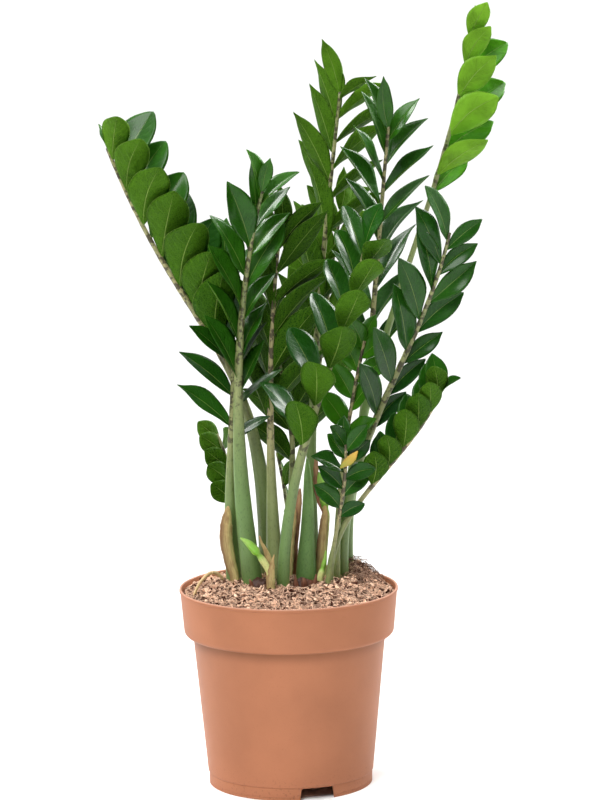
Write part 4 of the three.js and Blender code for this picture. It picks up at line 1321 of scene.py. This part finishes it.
class ROOTS_OT_build(bpy.types.Operator):
    """Shapes the tubers' tops and the root that arches over the soil"""

    bl_idname = "zz_plant.roots"
    bl_label = "Tubers and root"

    def execute(self, context):
        skin = dry_skin("tuber_bark", "7a4630", "5c3221", "34190f", "6b3c29", 3.333)
        for name, (centre, radii) in TUBERS.items():
            bm = bmesh.new()
            straight = bm.verts.layers.float_vector.new("straight")
            size = Matrix.Diagonal((radii[0], radii[1], radii[2] + 2, 1)) @ Matrix.Scale(MM, 4)
            place = Matrix.Translation(at(*centre)) @ size
            bmesh.ops.create_icosphere(bm, subdivisions=5, radius=1, matrix=place)
            for vert in bm.verts:
                vert[straight] = vert.co
                outward = (vert.co - at(*centre)).normalized()
                vert.co += outward * noise.fractal(vert.co * 200, 0.9, 2.0, 4) * 1.4 * MM
            finished(name + "_piece", bm, [skin], [name], 60)
        cream = dry_skin("living_root", "d9c295", "c9ab7a", "a3804f", "cdb488", 2.0)
        stalk_piece(ROOT, cream, sides=12, ripple=0.05, crumple=0.25)
        return {"FINISHED"}


# ---------------------------------------------------------------- stage


class Lamp(NamedTuple):
    """A round soft lamp, in metres, that points at the pot's axis at a height in millimetres."""

    name: str
    power: str  # the setting that holds it
    place: tuple
    aim: float
    size: float
    spread: float  # in degrees


LAMPS = [
    Lamp("overhead", "top_power", (0.35, 0.75, 2.0), 330, 1.5, 180),
    Lamp("window", "side_power", (1.35, 0.9, 1.35), 640, 0.9, 45),
    Lamp("skylight", "sky_power", (-1.5, 0.9, 1.9), 670, 1.9, 30),
]
SUN = {"swing": -27, "height": 47, "disc": 32}  # degrees to the right, over the floor, and across
CAMERA = {"lens": 167.5, "film": 36, "place": (13, -3500, 944.2), "tilt": 9.28, "roll": -0.68}
FLOOR_SIZE = 30


def pointed(direction):
    """The turn of a lamp that shines in a direction."""
    return direction.to_track_quat("-Z", "Y").to_euler()


class STAGE_OT_build(bpy.types.Operator):
    """Sets the pale floor, the soft lights and the camera of the photograph"""

    bl_idname = "zz_plant.stage"
    bl_label = "Stage"

    def execute(self, context):
        settings = context.scene.zz_plant.studio
        self.floor()
        self.sun(settings.key)
        for lamp in LAMPS:
            self.lamp(lamp, getattr(settings, lamp.power))
        context.scene.world = self.room(settings)
        context.scene.view_settings.view_transform = "Standard"
        self.camera(context)
        return {"FINISHED"}

    def floor(self):
        bm = bmesh.new()
        bmesh.ops.create_grid(bm, x_segments=1, y_segments=1, size=FLOOR_SIZE)
        paper, _, shader = new_material("white_paper")
        fill(shader, {"Base Color": linear("f8f8f7"), "Roughness": 0.9})
        floor = linked("floor", bm, [paper])

    def sun(self, strength):
        """The big soft key light, far enough off to light the whole floor evenly."""
        light = bpy.data.lights.new("key", "SUN")
        light.energy = strength
        light.angle = math.radians(SUN["disc"])
        swing, height = math.radians(SUN["swing"]), math.radians(SUN["height"])
        level = Vector((math.sin(swing), -math.cos(swing), 0))
        placed("key", light).rotation_euler = pointed(-(level * math.cos(height) + UP * math.sin(height)))

    def lamp(self, entry, power):
        light = bpy.data.lights.new(entry.name, "AREA")
        light.shape = "DISK"
        light.size = entry.size
        light.energy = power
        light.spread = math.radians(entry.spread)
        lamp = placed(entry.name, light)
        lamp.location = entry.place
        lamp.rotation_euler = pointed(at(0, 0, entry.aim) - Vector(entry.place))

    def room(self, settings):
        """The room's own light: a bright ceiling, a white backdrop, and dimmer towards the right."""
        world = bpy.data.worlds.new("white_room")
        world.use_nodes = True
        add = partial(add_node, world.node_tree)
        heading = add("TexCoord", output="Generated")
        to = add("SeparateXYZ", [heading]).node.outputs
        ceiling = add(
            "MapRange", [to["Z"], 0.2, 0.95, settings.room, settings.ceiling], interpolation_type="SMOOTHSTEP"
        )
        backdrop = add(
            "MapRange", [to["Y"], 0.3, 0.9, 0.0, settings.backdrop], interpolation_type="SMOOTHSTEP"
        )
        beside = add("MapRange", [to["X"], -0.9, 0.9, 0.9, 0.28])
        strength = add("Math", [ceiling, backdrop])
        strength = add("Math", [strength, beside], operation="MULTIPLY")
        fill(world.node_tree.nodes["Background"], {"Color": (1, 1, 1), "Strength": strength})
        return world

    def camera(self, context):
        """The photograph's camera: a long lens a little over the plant, tilted down."""
        lens = bpy.data.cameras.new("camera")
        lens.sensor_width = CAMERA["film"]
        lens.lens = CAMERA["lens"]
        lens.clip_end = 100
        tilt, roll = math.radians(CAMERA["tilt"]), math.radians(CAMERA["roll"])
        forward = Vector((0, math.cos(tilt), -math.sin(tilt)))
        right, up = Vector((1, 0, 0)), Vector((0, math.sin(tilt), math.cos(tilt)))
        rolled_right = right * math.cos(roll) + up * math.sin(roll)
        rolled_up = up * math.cos(roll) - right * math.sin(roll)
        turn = Matrix((rolled_right, rolled_up, -forward)).transposed().to_4x4()
        camera = placed("camera", lens)
        camera.matrix_world = Matrix.Translation(at(*CAMERA["place"])) @ turn
        context.scene.camera = camera


class PLANT_PT_panel(bpy.types.Panel):
    """Lists the plant's builders in the sidebar"""

    bl_label = "Potted ZZ Plant"
    bl_space_type = "VIEW_3D"
    bl_region_type = "UI"
    bl_category = "ZZ Plant"

    def draw(self, context):
        for builder in BUILDERS:
            self.layout.operator(builder.bl_idname)


SETTINGS = (PotSettings, SoilSettings, LeafSettings, StemSettings, StudioSettings, PlantSettings)
BUILDERS = (
    POT_OT_build, SOIL_OT_build, FRONDS_OT_build, SHOOTS_OT_build, SHEATHS_OT_build, ROOTS_OT_build,
    STAGE_OT_build,
)
CLASSES = (*SETTINGS, *BUILDERS, PLANT_PT_panel)


def register():
    for cls in CLASSES:
        bpy.utils.register_class(cls)
    bpy.types.Scene.zz_plant = PointerProperty(type=PlantSettings)


def unregister():
    del bpy.types.Scene.zz_plant
    for cls in reversed(CLASSES):
        bpy.utils.unregister_class(cls)


def main():
    register()
    bpy.ops.zz_plant.pot()
    bpy.ops.zz_plant.soil()
    bpy.ops.zz_plant.fronds()
    bpy.ops.zz_plant.shoots()
    bpy.ops.zz_plant.sheaths()
    bpy.ops.zz_plant.roots()
    bpy.ops.zz_plant.stage()


if __name__ == "__main__":
    main()
